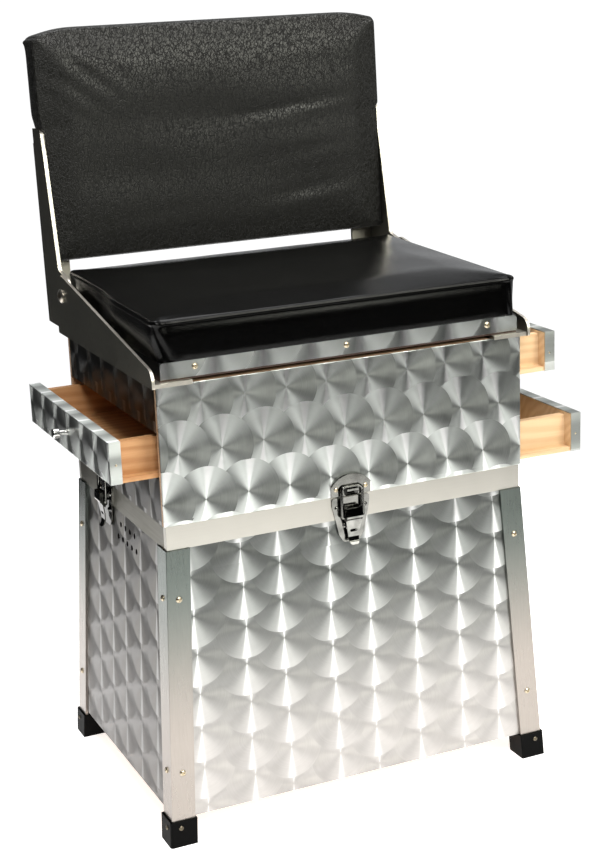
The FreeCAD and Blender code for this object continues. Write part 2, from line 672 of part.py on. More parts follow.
def latch_lever():
    """Bent sheet lever: a channel round the pin, a lip, and a tongue with a slot."""
    z = LATCH_PIVOT_Z
    skin = [(LEVER_TOP_OUT, z + LEVER_TOP, 0), (LEVER_BROW_OUT, z - LEVER_BROW, LEVER_BROW_R),
            (LEVER_CHIN_OUT, z - LEVER_CHIN, 0), (LEVER_STEP_OUT, z - LEVER_STEP, LEVER_STEP_R),
            (LEVER_MIDDLE_OUT, z - LEVER_MIDDLE, LEVER_MIDDLE_R),
            (LEVER_HEEL_OUT, z - LEVER_HEEL, LEVER_HEEL_R),
            (LEVER_TOE_OUT, z - LEVER_TOE, LEVER_HEEL_R), (LEVER_TIP_OUT, z - LEVER_LENGTH, 0)]
    band = skin + [(a - LEVER_WALL, b, r) for a, b, r in reversed(skin)]
    sheet = outward(latch_side(band, -LEVER_HALF, LEVER_HALF))
    half = [(LEVER_HALF, z + LEVER_TOP + 1, 0), (LEVER_HALF, z - LEVER_SHOULDER, LEVER_SHOULDER_R),
            (LEVER_HALF_WAIST, z - LEVER_WAIST, LEVER_WAIST_R),
            (LEVER_HALF_TAPER, z - LEVER_TAPER, LEVER_TAPER_R),
            (LEVER_HALF_TIP, z - LEVER_LENGTH - 0.1, LEVER_TIP_R)]
    outline = half + [(-a, b, r) for a, b, r in reversed(half)]
    deep = LEVER_BROW_OUT + 1
    sheet = sheet.common(outward(front_plate(outline, 0, deep)))
    wall = [(LEVER_WALL_IN, z + LEVER_TOP, LEVER_WALL_R), (LEVER_TOP_OUT, z + LEVER_TOP, 0.5),
            (LEVER_WALL_KNEE_OUT, z - LEVER_WALL_KNEE, 1.0),
            (LEVER_WALL_LOW_OUT, z - LEVER_WALL_LOW, LEVER_WALL_R),
            (LEVER_WALL_IN, z - LEVER_WALL_LOW, 2.0)]
    for side in (-1, 1):
        x0, x1 = sorted((side * LEVER_HALF, side * (LEVER_HALF - LEVER_WALL)))
        sheet = sheet.fuse(outward(latch_side(wall, x0, x1)))
    slot_low = z - LEVER_SLOT - LEVER_SLOT_H
    corners = [(-LEVER_SLOT_HALF, z - LEVER_SLOT), (LEVER_SLOT_HALF, z - LEVER_SLOT),
               (LEVER_SLOT_HALF, slot_low), (-LEVER_SLOT_HALF, slot_low)]
    slot = front_plate([(*corner, LEVER_SLOT_R) for corner in corners], 0, deep)
    holes = []
    for out, up, r in ((LATCH_PIVOT_OUT, z, LATCH_PIN_D / 2), (LATCH_EYE_OUT, LATCH_EYE_Z, LOOP_D / 2)):
        holes.append(rod(V(-20, -out, up), V(1, 0, 0), r + LATCH_PLAY, 40))
    return sheet.removeSplitter().cut([outward(slot)] + holes)


def rounded_path(points, radii):
    """Path of straight runs joined by tangent arcs; the two ends have no radius."""
    edges = []
    start = points[0]
    for i, radius in enumerate(radii, 1):
        before = (points[i - 1] - points[i]).normalize()
        after = (points[i + 1] - points[i]).normalize()
        half = before.getAngle(after) / 2
        reach = radius / math.tan(half)
        middle = points[i] + (before + after).normalize() * (radius / math.sin(half) - radius)
        edges.append(Part.makeLine(start, points[i] + before * reach))
        arc = Part.Arc(points[i] + before * reach, middle, points[i] + after * reach)
        edges.append(arc.toShape())
        start = points[i] + after * reach
    edges.append(Part.makeLine(start, points[-1]))
    return Part.Wire(edges)


def latch_loop():
    """Wire loop: its ends turn into the lever's walls and its bar sits on the keeper's hook."""
    stub = LEVER_HALF - LEVER_WALL + 0.1
    eye = V(0, -LATCH_EYE_OUT, LATCH_EYE_Z)
    bar = V(0, -LOOP_BAR_OUT, LOOP_BAR_Z)
    half = V(LOOP_HALF, 0, 0)
    points = [eye - V(stub, 0, 0), eye - half, bar - half, bar + half, eye + half, eye + V(stub, 0, 0)]
    path = rounded_path(points, (LOOP_EYE_R, LOOP_CORNER_R, LOOP_CORNER_R, LOOP_EYE_R))
    ring = Part.Wire(Part.makeCircle(LOOP_D / 2, points[0], V(1, 0, 0)))
    return outward(path.makePipeShell([ring], True, True))


# Drawer unit


def front_z(layer):
    """Lower edge of a drawer front."""
    return FIRST_FRONT_Z + layer * LAYER_PITCH


def shelf_middle(layer):
    """Height of the middle of the shelf above a layer, or of the unit's own end."""
    if layer < 0:
        return UNIT_Z
    if layer == LAYERS - 1:
        return UNIT_TOP
    return front_z(layer) + FRONT_HEIGHT + DRAWER_GAP + SHELF_T / 2


def unit_shell():
    """Faces, wall boards, boards across and the blanks that close the ends without drawers."""
    y = HALF_Y
    parts = {}
    for name, side in (("unit_front_panel", -1), ("unit_back_panel", 1)):
        y0, y1 = sorted((side * y, side * (y - FACE_SHEET)))
        sheet = block(-HALF_X, HALF_X, y0, y1, UNIT_Z, UNIT_TOP)
        edges = [e for e in sheet.Edges if all(abs(v.Y - side * y) < 0.01 for v in e.Vertexes)]
        parts[name] = sheet.makeFillet(FACE_SHEET * 0.5, edges)
    walls = []
    for side in (-1, 1):
        y0, y1 = sorted((side * WALL_IN_Y, side * (y - FACE_SHEET)))
        walls.append(block(-HALF_X, HALF_X, y0, y1, UNIT_Z, UNIT_TOP))
    parts["unit_wall_boards"] = walls
    parts["unit_bottom_board"] = block(-BLANK_X, HALF_X, -WALL_IN_Y, WALL_IN_Y,
                                       UNIT_Z, UNIT_Z + END_BOARD_T)
    parts["unit_top_board"] = block(-BLANK_X, HALF_X, -WALL_IN_Y, WALL_IN_Y,
                                    UNIT_TOP - END_BOARD_T, UNIT_TOP)
    shelves = []
    for layer in range(LAYERS - 1):
        z = shelf_middle(layer) - SHELF_T / 2
        shelves.append(block(-BLANK_X, BLANK_X, -WALL_IN_Y, WALL_IN_Y, z, z + SHELF_T))
    parts["unit_shelves"] = shelves
    blanks = (("left_blank_top", -1, 2), ("left_blank_bottom", -1, 0), ("right_blank_middle", 1, 1))
    for name, side, layer in blanks:
        x0, x1 = sorted((side * BLANK_X, side * HALF_X))
        parts[name] = block(x0, x1, -WALL_IN_Y, WALL_IN_Y, shelf_middle(layer - 1), shelf_middle(layer))
    return parts


# Drawers: built closed and opening to +X


def drawer_facing(z):
    """Sheet folded over the front board's face, ends, top and bottom."""
    t = FACING_T
    outer = block(BLANK_X, HALF_X, -FRONT_HALF, FRONT_HALF, z, z + FRONT_HEIGHT)
    edges = [e for e in outer.Edges if all(abs(v.X - HALF_X) < 0.01 for v in e.Vertexes)]
    outer = outer.makeFillet(t * 0.6, edges)
    inner = block(BLANK_X - 1, HALF_X - t, t - FRONT_HALF, FRONT_HALF - t, z + t, z + FRONT_HEIGHT - t)
    return outer.cut(inner)


def drawer_box(z):
    """Front board, two sides, inner end and base."""
    t = FACING_T
    inner_end = DRAWER_END_GAP - BLANK_X
    side_out = FRONT_HALF - DRAWER_SIDE_INSET
    side_in = side_out - DRAWER_SIDE_T
    base_top = z + DRAWER_BASE_T
    side_top = z + FRONT_HEIGHT - DRAWER_SIDE_DROP
    base_half = FRONT_HALF - DRAWER_BASE_INSET
    end_in = inner_end + DRAWER_SIDE_T
    return [
        block(BLANK_X, HALF_X - t, t - FRONT_HALF, FRONT_HALF - t, z + t, z + FRONT_HEIGHT - t),
        block(inner_end, BLANK_X, -base_half, base_half, z, base_top),
        block(end_in, BLANK_X, -side_out, -side_in, base_top, side_top),
        block(end_in, BLANK_X, side_in, side_out, base_top, side_top),
        block(inner_end, end_in, -side_out, side_out, base_top, side_top),
    ]


def drawer_knob(z):
    """Turned knob: collar, neck and a rounded head."""
    head = KNOB_HEAD_D / 2
    neck = KNOB_NECK_D / 2
    collar = KNOB_COLLAR_D / 2
    shoulder = KNOB_LENGTH - KNOB_HEAD_L
    soft = KNOB_FACE_R
    bevel = KNOB_BACK_BEVEL
    outline = [V(0, 0, 0), V(0, 0, collar), V(KNOB_COLLAR_L, 0, collar), V(KNOB_COLLAR_L, 0, neck),
               V(shoulder, 0, neck), V(shoulder, 0, head - bevel), V(shoulder + bevel, 0, head),
               V(KNOB_LENGTH - soft, 0, head)]
    edges = [Part.makeLine(a, b) for a, b in zip(outline, outline[1:])]
    bend = V(KNOB_LENGTH - soft * 0.3, 0, head - soft * 0.3)
    edges.append(Part.Arc(outline[-1], bend, V(KNOB_LENGTH, 0, head - soft)).toShape())
    edges.append(Part.makeLine(V(KNOB_LENGTH, 0, head - soft), V(KNOB_LENGTH, 0, 0)))
    edges.append(Part.makeLine(V(KNOB_LENGTH, 0, 0), V(0, 0, 0)))
    knob = outward(Part.Face(Part.Wire(edges)).revolve(V(), V(1, 0, 0), 360))
    knob.translate(V(HALF_X, 0, z + FRONT_HEIGHT / 2))
    return knob


def drawers():
    """The three drawers as they stand open: the middle one to the left, the others right."""
    parts = {}
    rows = (("bottom", 0, 1, OPEN_BOTTOM), ("middle", 1, -1, OPEN_MIDDLE), ("top", 2, 1, OPEN_TOP))
    for name, layer, side, opened in rows:
        z = front_z(layer)
        pieces = {"facing": [drawer_facing(z)], "box": drawer_box(z), "knob": [drawer_knob(z)]}
        for piece, solids in pieces.items():
            for solid in solids:
                if side < 0:
                    solid.rotate(V(), V(0, 0, 1), 180)
                solid.translate(V(side * opened, 0, 0))
            parts[name + "_drawer_" + piece] = solids
    return parts


# Seat


def seat_bracket(side):
    """Angle plate beside the seat: a flange on the unit's top and a sloping side."""
    z = UNIT_TOP
    outline = [(BRACKET_END, z, BRACKET_LOW_REAR_R),
               (BRACKET_END, z + BRACKET_REAR_H, BRACKET_REAR_R),
               (-BRACKET_END, z + BRACKET_FRONT_H, BRACKET_FRONT_R),
               (-BRACKET_END, z, BRACKET_LOW_FRONT_R)]
    x_in = BRACKET_OUTER - BRACKET_T
    wall = outward(side_plate(outline, x_in, BRACKET_OUTER))
    y = BRACKET_END - BRACKET_FLANGE_END
    flange = block(x_in - BRACKET_FLANGE_WIDTH, x_in, -y, y, z, z + BRACKET_FLANGE_T)
    bracket = wall.fuse(flange).removeSplitter()
    bore = rod(V(0, PIVOT_Y, PIVOT_Z), V(1, 0, 0), PIVOT_D / 2 + SCREW_PLAY, BRACKET_OUTER + 1)
    bracket = bracket.cut(bore)
    return bracket if side > 0 else bracket.mirror(V(), V(1, 0, 0))


def seat_board():
    return block(-SEAT_HALF, SEAT_HALF, -HALF_Y, SEAT_REAR, SEAT_Z, CUSHION_Z)


def trim_strip():
    """Metal strip along the front edge of the seat board."""
    low = CUSHION_Z - TRIM_HEIGHT
    outline = [(-SEAT_HALF, low, 0), (SEAT_HALF, low, 0), (SEAT_HALF, CUSHION_Z, TRIM_CORNER_R),
               (-SEAT_HALF, CUSHION_Z, TRIM_CORNER_R)]
    return outward(front_plate(outline, HALF_Y, TRIM_T))


def pillow_ring(half_x, y0, y1, z, slope, drawn, corner):
    """Outline of a cushion whose four sides are drawn in at their middles, at height z at
    the front and rising to the back by the slope."""
    middle = (y0 + y1) / 2
    fold = corner * (1 - math.sqrt(0.5))

    def p(x, y):
        return V(x, y, z + (y + HALF_Y + CUSHION_OVERHANG) * slope)

    corners = [(-half_x, y0, 1, 1), (half_x, y0, -1, 1), (half_x, y1, -1, -1), (-half_x, y1, 1, -1)]
    edges = []
    ends = []
    for i, (x, y, inx, iny) in enumerate(corners):
        along_x = p(x + inx * corner, y)
        along_y = p(x, y + iny * corner)
        first, last = (along_y, along_x) if i % 2 == 0 else (along_x, along_y)
        edges.append(Part.Arc(first, p(x + inx * fold, y + iny * fold), last).toShape())
        ends.append((first, last))
    bows = [p(0, y0 + drawn), p(half_x - drawn, middle), p(0, y1 - drawn), p(drawn - half_x, middle)]
    for i, bow in enumerate(bows):
        edges.append(Part.Arc(ends[i][1], bow, ends[(i + 1) % 4][0]).toShape())
    return Part.Wire(Part.sortEdges(edges)[0])


def seat_cushion():
    """Upholstered pad: upright sides drawn in a little, a seam edge that rises to the back,
    and a low crown."""
    y0 = -HALF_Y - CUSHION_OVERHANG
    y1 = SEAT_REAR

    def ring(up, inset, crown):
        """Outline at a height up the sides; over the seam it is drawn in and crowned."""
        slope = CUSHION_RISE * up / CUSHION_EDGE_H / (y1 - y0)
        share = inset / CUSHION_CROWN_RUN
        drawn = CUSHION_DRAWN * (1 - 0.8 * share)
        corner = CUSHION_CORNER_R * (1 + 3 * share)
        z = CUSHION_Z + up + crown
        return pillow_ring(CUSHION_HALF - inset, y0 + inset, y1 - inset, z, slope, drawn, corner)

    rings = [ring(0, CUSHION_FOOT_IN, 0), ring(CUSHION_FOOT_H, 0, 0), ring(CUSHION_EDGE_H, 0, 0)]
    for step in range(1, CROWN_STEPS + 1):
        share = step / CROWN_STEPS
        crown = CUSHION_CROWN * math.sin(share * math.pi / 2)
        rings.append(ring(CUSHION_EDGE_H, CUSHION_CROWN_RUN * share ** 2, crown))
    return outward(Part.makeLoft(rings, True, True))


def pivot_bolt(side):
    """Bolt through bracket and arm, and its low nut."""
    start = V(side * BRACKET_OUTER, PIVOT_Y, PIVOT_Z)
    nut_out = ARM_INNER - PIVOT_NUT_GAP
    length = BRACKET_OUTER - nut_out + PIVOT_NUT_T
    bolt = pan_screw(start, V(side, 0, 0), PIVOT_HEAD_D, PIVOT_HEAD_H, PIVOT_D, length)
    nut_start = V(side * (nut_out - PIVOT_NUT_T), PIVOT_Y, PIVOT_Z)
    nut = rod(nut_start, V(side, 0, 0), PIVOT_NUT_D / 2, PIVOT_NUT_T)
    return [bolt, nut.cut(bolt)]


# Backrest


def lean_point(forward, up):
    """(y, z) of a place measured forward of the arms' rear face and up from their foot."""
    angle = math.radians(BACK_LEAN)
    y = ARM_FOOT_Y - forward * math.cos(angle) + up * math.sin(angle)
    z = ARM_FOOT_Z + forward * math.sin(angle) + up * math.cos(angle)
    return y, z


def leaning_block(x0, x1, near, far, low, high):
    """Block between two x, two distances forward and two distances up the backrest."""
    corners = [lean_point(near, low), lean_point(near, high), lean_point(far, high), lean_point(far, low)]
    return outward(side_plate([(y, z, 0) for y, z in corners], x0, x1))


def backrest_arm(side):
    """Flat arm from the pivot up beside the cushion, with a flange turned in behind it."""
    outline = [
        (ARM_FOOT_Y, ARM_FOOT_Z, ARM_CORNER_R),
        (*lean_point(0, ARM_LENGTH), ARM_CORNER_R),
        (*lean_point(ARM_TOP_DEPTH, ARM_LENGTH), ARM_TOP_R),
        (*lean_point(ARM_NECK_DEPTH, ARM_NECK_UP), ARM_NECK_R),
        (PIVOT_Y - ARM_BOSS_R, PIVOT_Z + ARM_BOSS_R, ARM_BOSS_R * 0.95),
        (PIVOT_Y - ARM_BOSS_R, PIVOT_Z - ARM_BOSS_R * 0.3, ARM_BOSS_R * 0.5),
        (PIVOT_Y, ARM_FOOT_Z, ARM_CORNER_R),
    ]
    arm = outward(side_plate(outline, ARM_INNER, ARM_OUTER))
    flange = leaning_block(ARM_INNER - ARM_FLANGE_WIDTH, ARM_INNER, 0, ARM_T, 0, ARM_FLANGE_TOP)
    arm = arm.fuse(flange).removeSplitter()
    bore = rod(V(0, PIVOT_Y, PIVOT_Z), V(1, 0, 0), PIVOT_D / 2 + PIVOT_PLAY, ARM_OUTER + 1)
    notch = leaning_block(ARM_INNER - 1, ARM_OUTER + 1, -1, ARM_NOTCH, ARM_FLANGE_TOP, ARM_LENGTH + 1)
    arm = arm.cut([bore, notch])
    return arm if side > 0 else arm.mirror(V(), V(1, 0, 0))


def backrest_board():
    x = ARM_INNER - BACK_BOARD_IN
    return leaning_block(-x, x, ARM_T, ARM_T + BACK_BOARD_T, BACK_BOARD_LOW, BACK_BOARD_HIGH)


def backrest_ring(inset, forward, drawn, corner):
    """Upright outline of the backrest pad at a distance forward of the arms' rear face: its
    sides are drawn in, and its top edge falls away to the two upper corners."""
    x = ARM_OUTER - inset
    low = BACK_LOW + inset
    high = BACK_HIGH - inset
    shoulder = high - BACK_SHOULDER
    bend = x - corner
    run = bend - BACK_SHOULDER_RUN
    start = shoulder + corner * 0.1
    fold = corner * (1 - math.sqrt(0.5))
    middle = (low + shoulder) / 2

    def p(a, b):
        y, z = lean_point(forward, b)
        return V(a, y, z)

    def arc(a, b, c):
        return Part.Arc(p(*a), p(*b), p(*c)).toShape()

    edges = [
        arc((-bend, low), (0, low + drawn), (bend, low)),
        arc((bend, low), (x - fold, low + fold), (x, low + corner)),
        arc((x, low + corner), (x - drawn, middle), (x, shoulder - corner)),
        arc((x, shoulder - corner), (x - fold, shoulder - fold * 0.9), (bend, start)),
        arc((bend, start), ((bend + run) / 2, high - BACK_SHOULDER * 0.25), (run, high)),
        Part.makeLine(p(run, high), p(-run, high)),
        arc((-run, high), (-(bend + run) / 2, high - BACK_SHOULDER * 0.25), (-bend, start)),
        arc((-bend, start), (fold - x, shoulder - fold * 0.9), (-x, shoulder - corner)),
        arc((-x, shoulder - corner), (drawn - x, middle), (-x, low + corner)),
        arc((-x, low + corner), (fold - x, low + fold), (-bend, low)),
    ]
    return Part.Wire(edges)


def backrest_cushion():
    """Upholstered pad wrapped round the backrest board: as wide as over the arms above them,
    pressed in between them below."""
    back = ARM_T
    edge = back + BACK_T
    flat_in = BACK_EDGE_IN + BACK_CROWN_RUN

    def ring(forward, inset):
        drawn = BACK_DRAWN * (1 - 0.7 * inset / flat_in)
        return backrest_ring(inset, forward, drawn, BACK_CORNER_R * (1 + 1.75 * inset / flat_in))

    rings = [ring(back, BACK_REAR_IN), ring(back + BACK_REAR_RUN, 0)]
    for step in range(CROWN_STEPS):
        turn = math.pi / 2 * step / (CROWN_STEPS - 1)
        rings.append(ring(edge - BACK_EDGE_R * (1 - math.sin(turn)), BACK_EDGE_IN * (1 - math.cos(turn))))
    for step in (1, 2):
        share = step / 2
        rings.append(ring(edge + BACK_CROWN * share * (2 - share), BACK_EDGE_IN + BACK_CROWN_RUN * share))
    pad = outward(Part.makeLoft(rings, True, True))
    x = ARM_INNER - BACK_PLAY
    beside = [leaning_block(x0, x1, back - 1, edge + BACK_CROWN + 1, 0, ARM_LENGTH + BACK_PLAY)
              for x0, x1 in ((-x - 2 * ARM_T, -x), (x, x + 2 * ARM_T))]
    return pad.cut(beside + [backrest_board()])


def backrest_screw_places():
    lean = math.radians(BACK_LEAN)
    out = V(0, math.cos(lean), -math.sin(lean))
    x = ARM_INNER - BACK_SCREW_IN
    return [(V(side * x, *lean_point(0, up)), out) for side in (-1, 1) for up in BACK_SCREW_UP]


# Assembly


def unit_screw_places():
    """Screws of the trim strip and down through the brackets' flanges."""
    trim = []
    flange = []
    for step in (-1, 0, 1):
        x = step * (SEAT_HALF - TRIM_SCREW_END)
        trim.append((V(x, -HALF_Y - TRIM_T, CUSHION_Z - TRIM_SCREW_DROP), V(0, -1, 0)))
        for side in (-1, 1):
            x = side * (BRACKET_OUTER - BRACKET_T - FLANGE_SCREW_IN)
            flange.append(V(x, step * FLANGE_SCREW_PITCH, UNIT_TOP + BRACKET_FLANGE_T))
    return trim, flange


def flat_screw(start, length):
    """Countersunk screw, its flat head level with the face it is sunk in."""
    head = Part.makeCone(SCREW_HEAD_D / 2, SCREW_SHANK_D / 2, SCREW_HEAD_H, start, V(0, 0, -1))
    return head.fuse(rod(start, V(0, 0, -1), SCREW_SHANK_D / 2, length)).removeSplitter()


def build():
    """All nodes as lists of solids, about the middle of the box."""
    nodes = {}
    for name, x_sign, y_sign in corners_of_box():
        nodes[name + "_post"] = post(x_sign, y_sign)
        nodes[name + "_foot"] = foot(x_sign, y_sign, nodes[name + "_post"])
    nodes.update(bin_panels())
    nodes["bin_floor"] = bin_floor()
    nodes.update(rims())
    places = bin_screw_places()
    nodes["bin_screws"] = [pan_screw(*place) for place in places]
    bin_holes = [shank(*place[:2]) for place in places]

    keeper_holes, base_holes = latch_holes()
    out = V(0, -1, 0)
    rivet = (RIVET_D, RIVET_HEAD_H, SCREW_SHANK_D, RIVET_LENGTH)
    rivets = []
    unit_screws = []
    unit_holes = []
    pins = []
    for name, put in (("front_latch", to_front_latch), ("left_latch", to_left_latch)):
        nodes[name + "_base"] = put(latch_base())
        nodes[name + "_lever"] = put(latch_lever())
        nodes[name + "_loop"] = put(latch_loop())
        nodes[name + "_keeper"] = put(latch_keeper())
        pins.append(put(latch_pin()))
        rivets += [put(pan_screw(p, out, *rivet)) for p in base_holes]
        bin_holes += [put(shank(p, out, *rivet[2:])) for p in base_holes]
        unit_screws += [put(pan_screw(p, out, *rivet)) for p in keeper_holes]
        unit_holes += [put(shank(p, out, *rivet[2:])) for p in keeper_holes]
    nodes["latch_rivets"] = rivets
    nodes["latch_pins"] = pins

    nodes.update(unit_shell())
    nodes["seat_bracket_left"] = seat_bracket(-1)
    nodes["seat_bracket_right"] = seat_bracket(1)
    nodes["seat_board"] = seat_board()
    nodes["seat_cushion"] = seat_cushion()
    nodes["seat_trim_strip"] = trim_strip()
    trim, flange = unit_screw_places()
    unit_screws += [pan_screw(*place) for place in trim]
    unit_holes += [shank(*place) for place in trim]
    sunk = [flat_screw(start, BRACKET_FLANGE_T + END_BOARD_T) for start in flange]
    unit_screws += sunk
    unit_holes += sunk
    nodes["unit_screws"] = unit_screws
    nodes["pivot_bolts"] = pivot_bolt(-1) + pivot_bolt(1)

    nodes.update(drawers())

    nodes["backrest_arm_left"] = backrest_arm(-1)
    nodes["backrest_arm_right"] = backrest_arm(1)
    nodes["backrest_board"] = backrest_board()
    nodes["backrest_cushion"] = backrest_cushion()
    places = backrest_screw_places()
    back_screw = (BACK_SCREW_HEAD_D, BACK_SCREW_HEAD_H, BACK_SCREW_SHANK_D, BACK_SCREW_LENGTH)
    nodes["backrest_screws"] = [pan_screw(*place, *back_screw) for place in places]
    back_holes = [shank(*place, *back_screw[2:]) for place in places]

    drill_plan = (
        (bin_holes, ("front_left_", "front_right_", "back_left_", "back_right_", "rim_", "bin_")),
        (unit_holes, ("unit_", "seat_b", "seat_trim", "left_blank")),
        (back_holes, ("backrest_arm_", "backrest_board")),
    )
    for holes, starts in drill_plan:
        for name in nodes:
            if name.endswith("screws") or not name.startswith(starts):
                continue
            shapes = nodes[name] if isinstance(nodes[name], list) else [nodes[name]]
            nodes[name] = [drilled(shape, holes) for shape in shapes]
    return {name: shapes if isinstance(shapes, list) else [shapes] for name, shapes in nodes.items()}


def origin_of(nodes):
    """Middle of the lowest face of the box round all nodes."""
    whole = Part.makeCompound([solid for solids in nodes.values() for solid in solids])
    box = whole.optimalBoundingBox(False, False)
    return V((box.XMin + box.XMax) / 2, (box.YMin + box.YMax) / 2, box.ZMin)


def main():
    os.makedirs("parts", exist_ok=True)
    nodes = build()
    origin = origin_of(nodes)
    for name, shapes in nodes.items():
        solids = [solid for shape in shapes for solid in shape.Solids]
        for solid in solids:
            solid.translate(origin * -1)
        whole = solids[0] if len(solids) == 1 else Part.makeCompound(solids)
        whole.exportStep("parts/" + name + ".step")
        print(name, len(solids), "solids", round(sum(s.Volume for s in solids)), "mm3",
              "valid" if all(s.isValid() for s in solids) else "NOT VALID")
    print("origin moved from the middle of the box by", origin)
    return origin


if __name__ == "__main__":
    main()
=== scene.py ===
"""Looks, light and camera for the fishing seat box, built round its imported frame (metres)."""

import json
import math

import bmesh
import bpy
import numpy as np
from mathutils import Matrix, Vector


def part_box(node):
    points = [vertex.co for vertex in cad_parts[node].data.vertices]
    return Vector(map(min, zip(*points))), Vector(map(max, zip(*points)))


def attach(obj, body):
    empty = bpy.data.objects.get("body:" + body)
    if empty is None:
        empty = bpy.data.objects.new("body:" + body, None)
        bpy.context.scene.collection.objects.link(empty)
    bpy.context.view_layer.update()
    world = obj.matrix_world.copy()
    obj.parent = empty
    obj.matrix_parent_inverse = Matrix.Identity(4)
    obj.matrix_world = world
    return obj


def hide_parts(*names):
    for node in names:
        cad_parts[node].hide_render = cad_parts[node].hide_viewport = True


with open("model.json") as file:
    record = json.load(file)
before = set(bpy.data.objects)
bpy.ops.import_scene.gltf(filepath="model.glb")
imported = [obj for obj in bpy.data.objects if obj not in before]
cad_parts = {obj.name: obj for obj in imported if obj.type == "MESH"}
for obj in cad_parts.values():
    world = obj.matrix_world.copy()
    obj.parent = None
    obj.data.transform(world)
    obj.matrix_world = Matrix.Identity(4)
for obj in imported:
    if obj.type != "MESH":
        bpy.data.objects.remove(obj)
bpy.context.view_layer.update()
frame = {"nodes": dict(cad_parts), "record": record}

# Camera: the photograph's own, solved from corners of the box
FOCAL_PX = 1695.958
IMAGE_W = 600
IMAGE_H = 867
CENTRE_PX = (298.616, 428.179)
CAMERA_AT = (-0.721375, -1.636144, 0.860314)
CAMERA_TURNS = (0.41721632, 0.27296451, -0.03961544)  # azimuth, elevation, roll

SENSOR = 36.0  # mm
NEAREST, FARTHEST = 0.05, 60
BACK_LEAN = math.radians(2.8)
ARM_FLANGE_TOP = 0.196  # up from the arms' feet


def make_camera():
    azimuth, elevation, roll = CAMERA_TURNS
    axes = Matrix(((1, 0, 0), (0, 0, -1), (0, 1, 0)))
    turn = Matrix.Rotation(roll, 3, "Z") @ Matrix.Rotation(elevation, 3, "X")
    turn = turn @ axes @ Matrix.Rotation(azimuth, 3, "Z")
    camera = bpy.data.objects.new("camera", bpy.data.cameras.new("camera"))
    bpy.context.scene.collection.objects.link(camera)
    bpy.context.scene.camera = camera
    facing = Matrix((turn[0], -turn[1], -turn[2])).transposed()
    camera.matrix_world = Matrix.Translation(CAMERA_AT) @ facing.to_4x4()
    camera.data.sensor_width = SENSOR
    camera.data.lens = FOCAL_PX * SENSOR / IMAGE_H
    camera.data.shift_x = (IMAGE_W / 2 - CENTRE_PX[0]) / IMAGE_H
    camera.data.shift_y = (CENTRE_PX[1] - IMAGE_H / 2) / IMAGE_H
    camera.data.clip_start = NEAREST
    camera.data.clip_end = FARTHEST


# Node trees written as arithmetic


class Num:
    """A number inside a node tree."""

    def __init__(self, tree, socket):
        self.tree = tree
        self.socket = socket

    def __add__(self, other):
        return self.tree.math("ADD", self, other)

    def __radd__(self, other):
        return self.tree.math("ADD", other, self)

    def __sub__(self, other):
        return self.tree.math("SUBTRACT", self, other)

    def __rsub__(self, other):
        return self.tree.math("SUBTRACT", other, self)

    def __mul__(self, other):
        return self.tree.math("MULTIPLY", self, other)

    def __rmul__(self, other):
        return self.tree.math("MULTIPLY", other, self)

    def __truediv__(self, other):
        return self.tree.math("DIVIDE", self, other)

    def __abs__(self):
        return self.tree.math("ABSOLUTE", self)

    def floor(self):
        return self.tree.math("FLOOR", self)

    def ceil(self):
        return self.tree.math("CEIL", self)

    def sqrt(self):
        return self.tree.math("SQRT", self)

    def clamp(self):
        made = self.tree.math("ADD", self, 0.0)
        made.socket.node.use_clamp = True
        return made


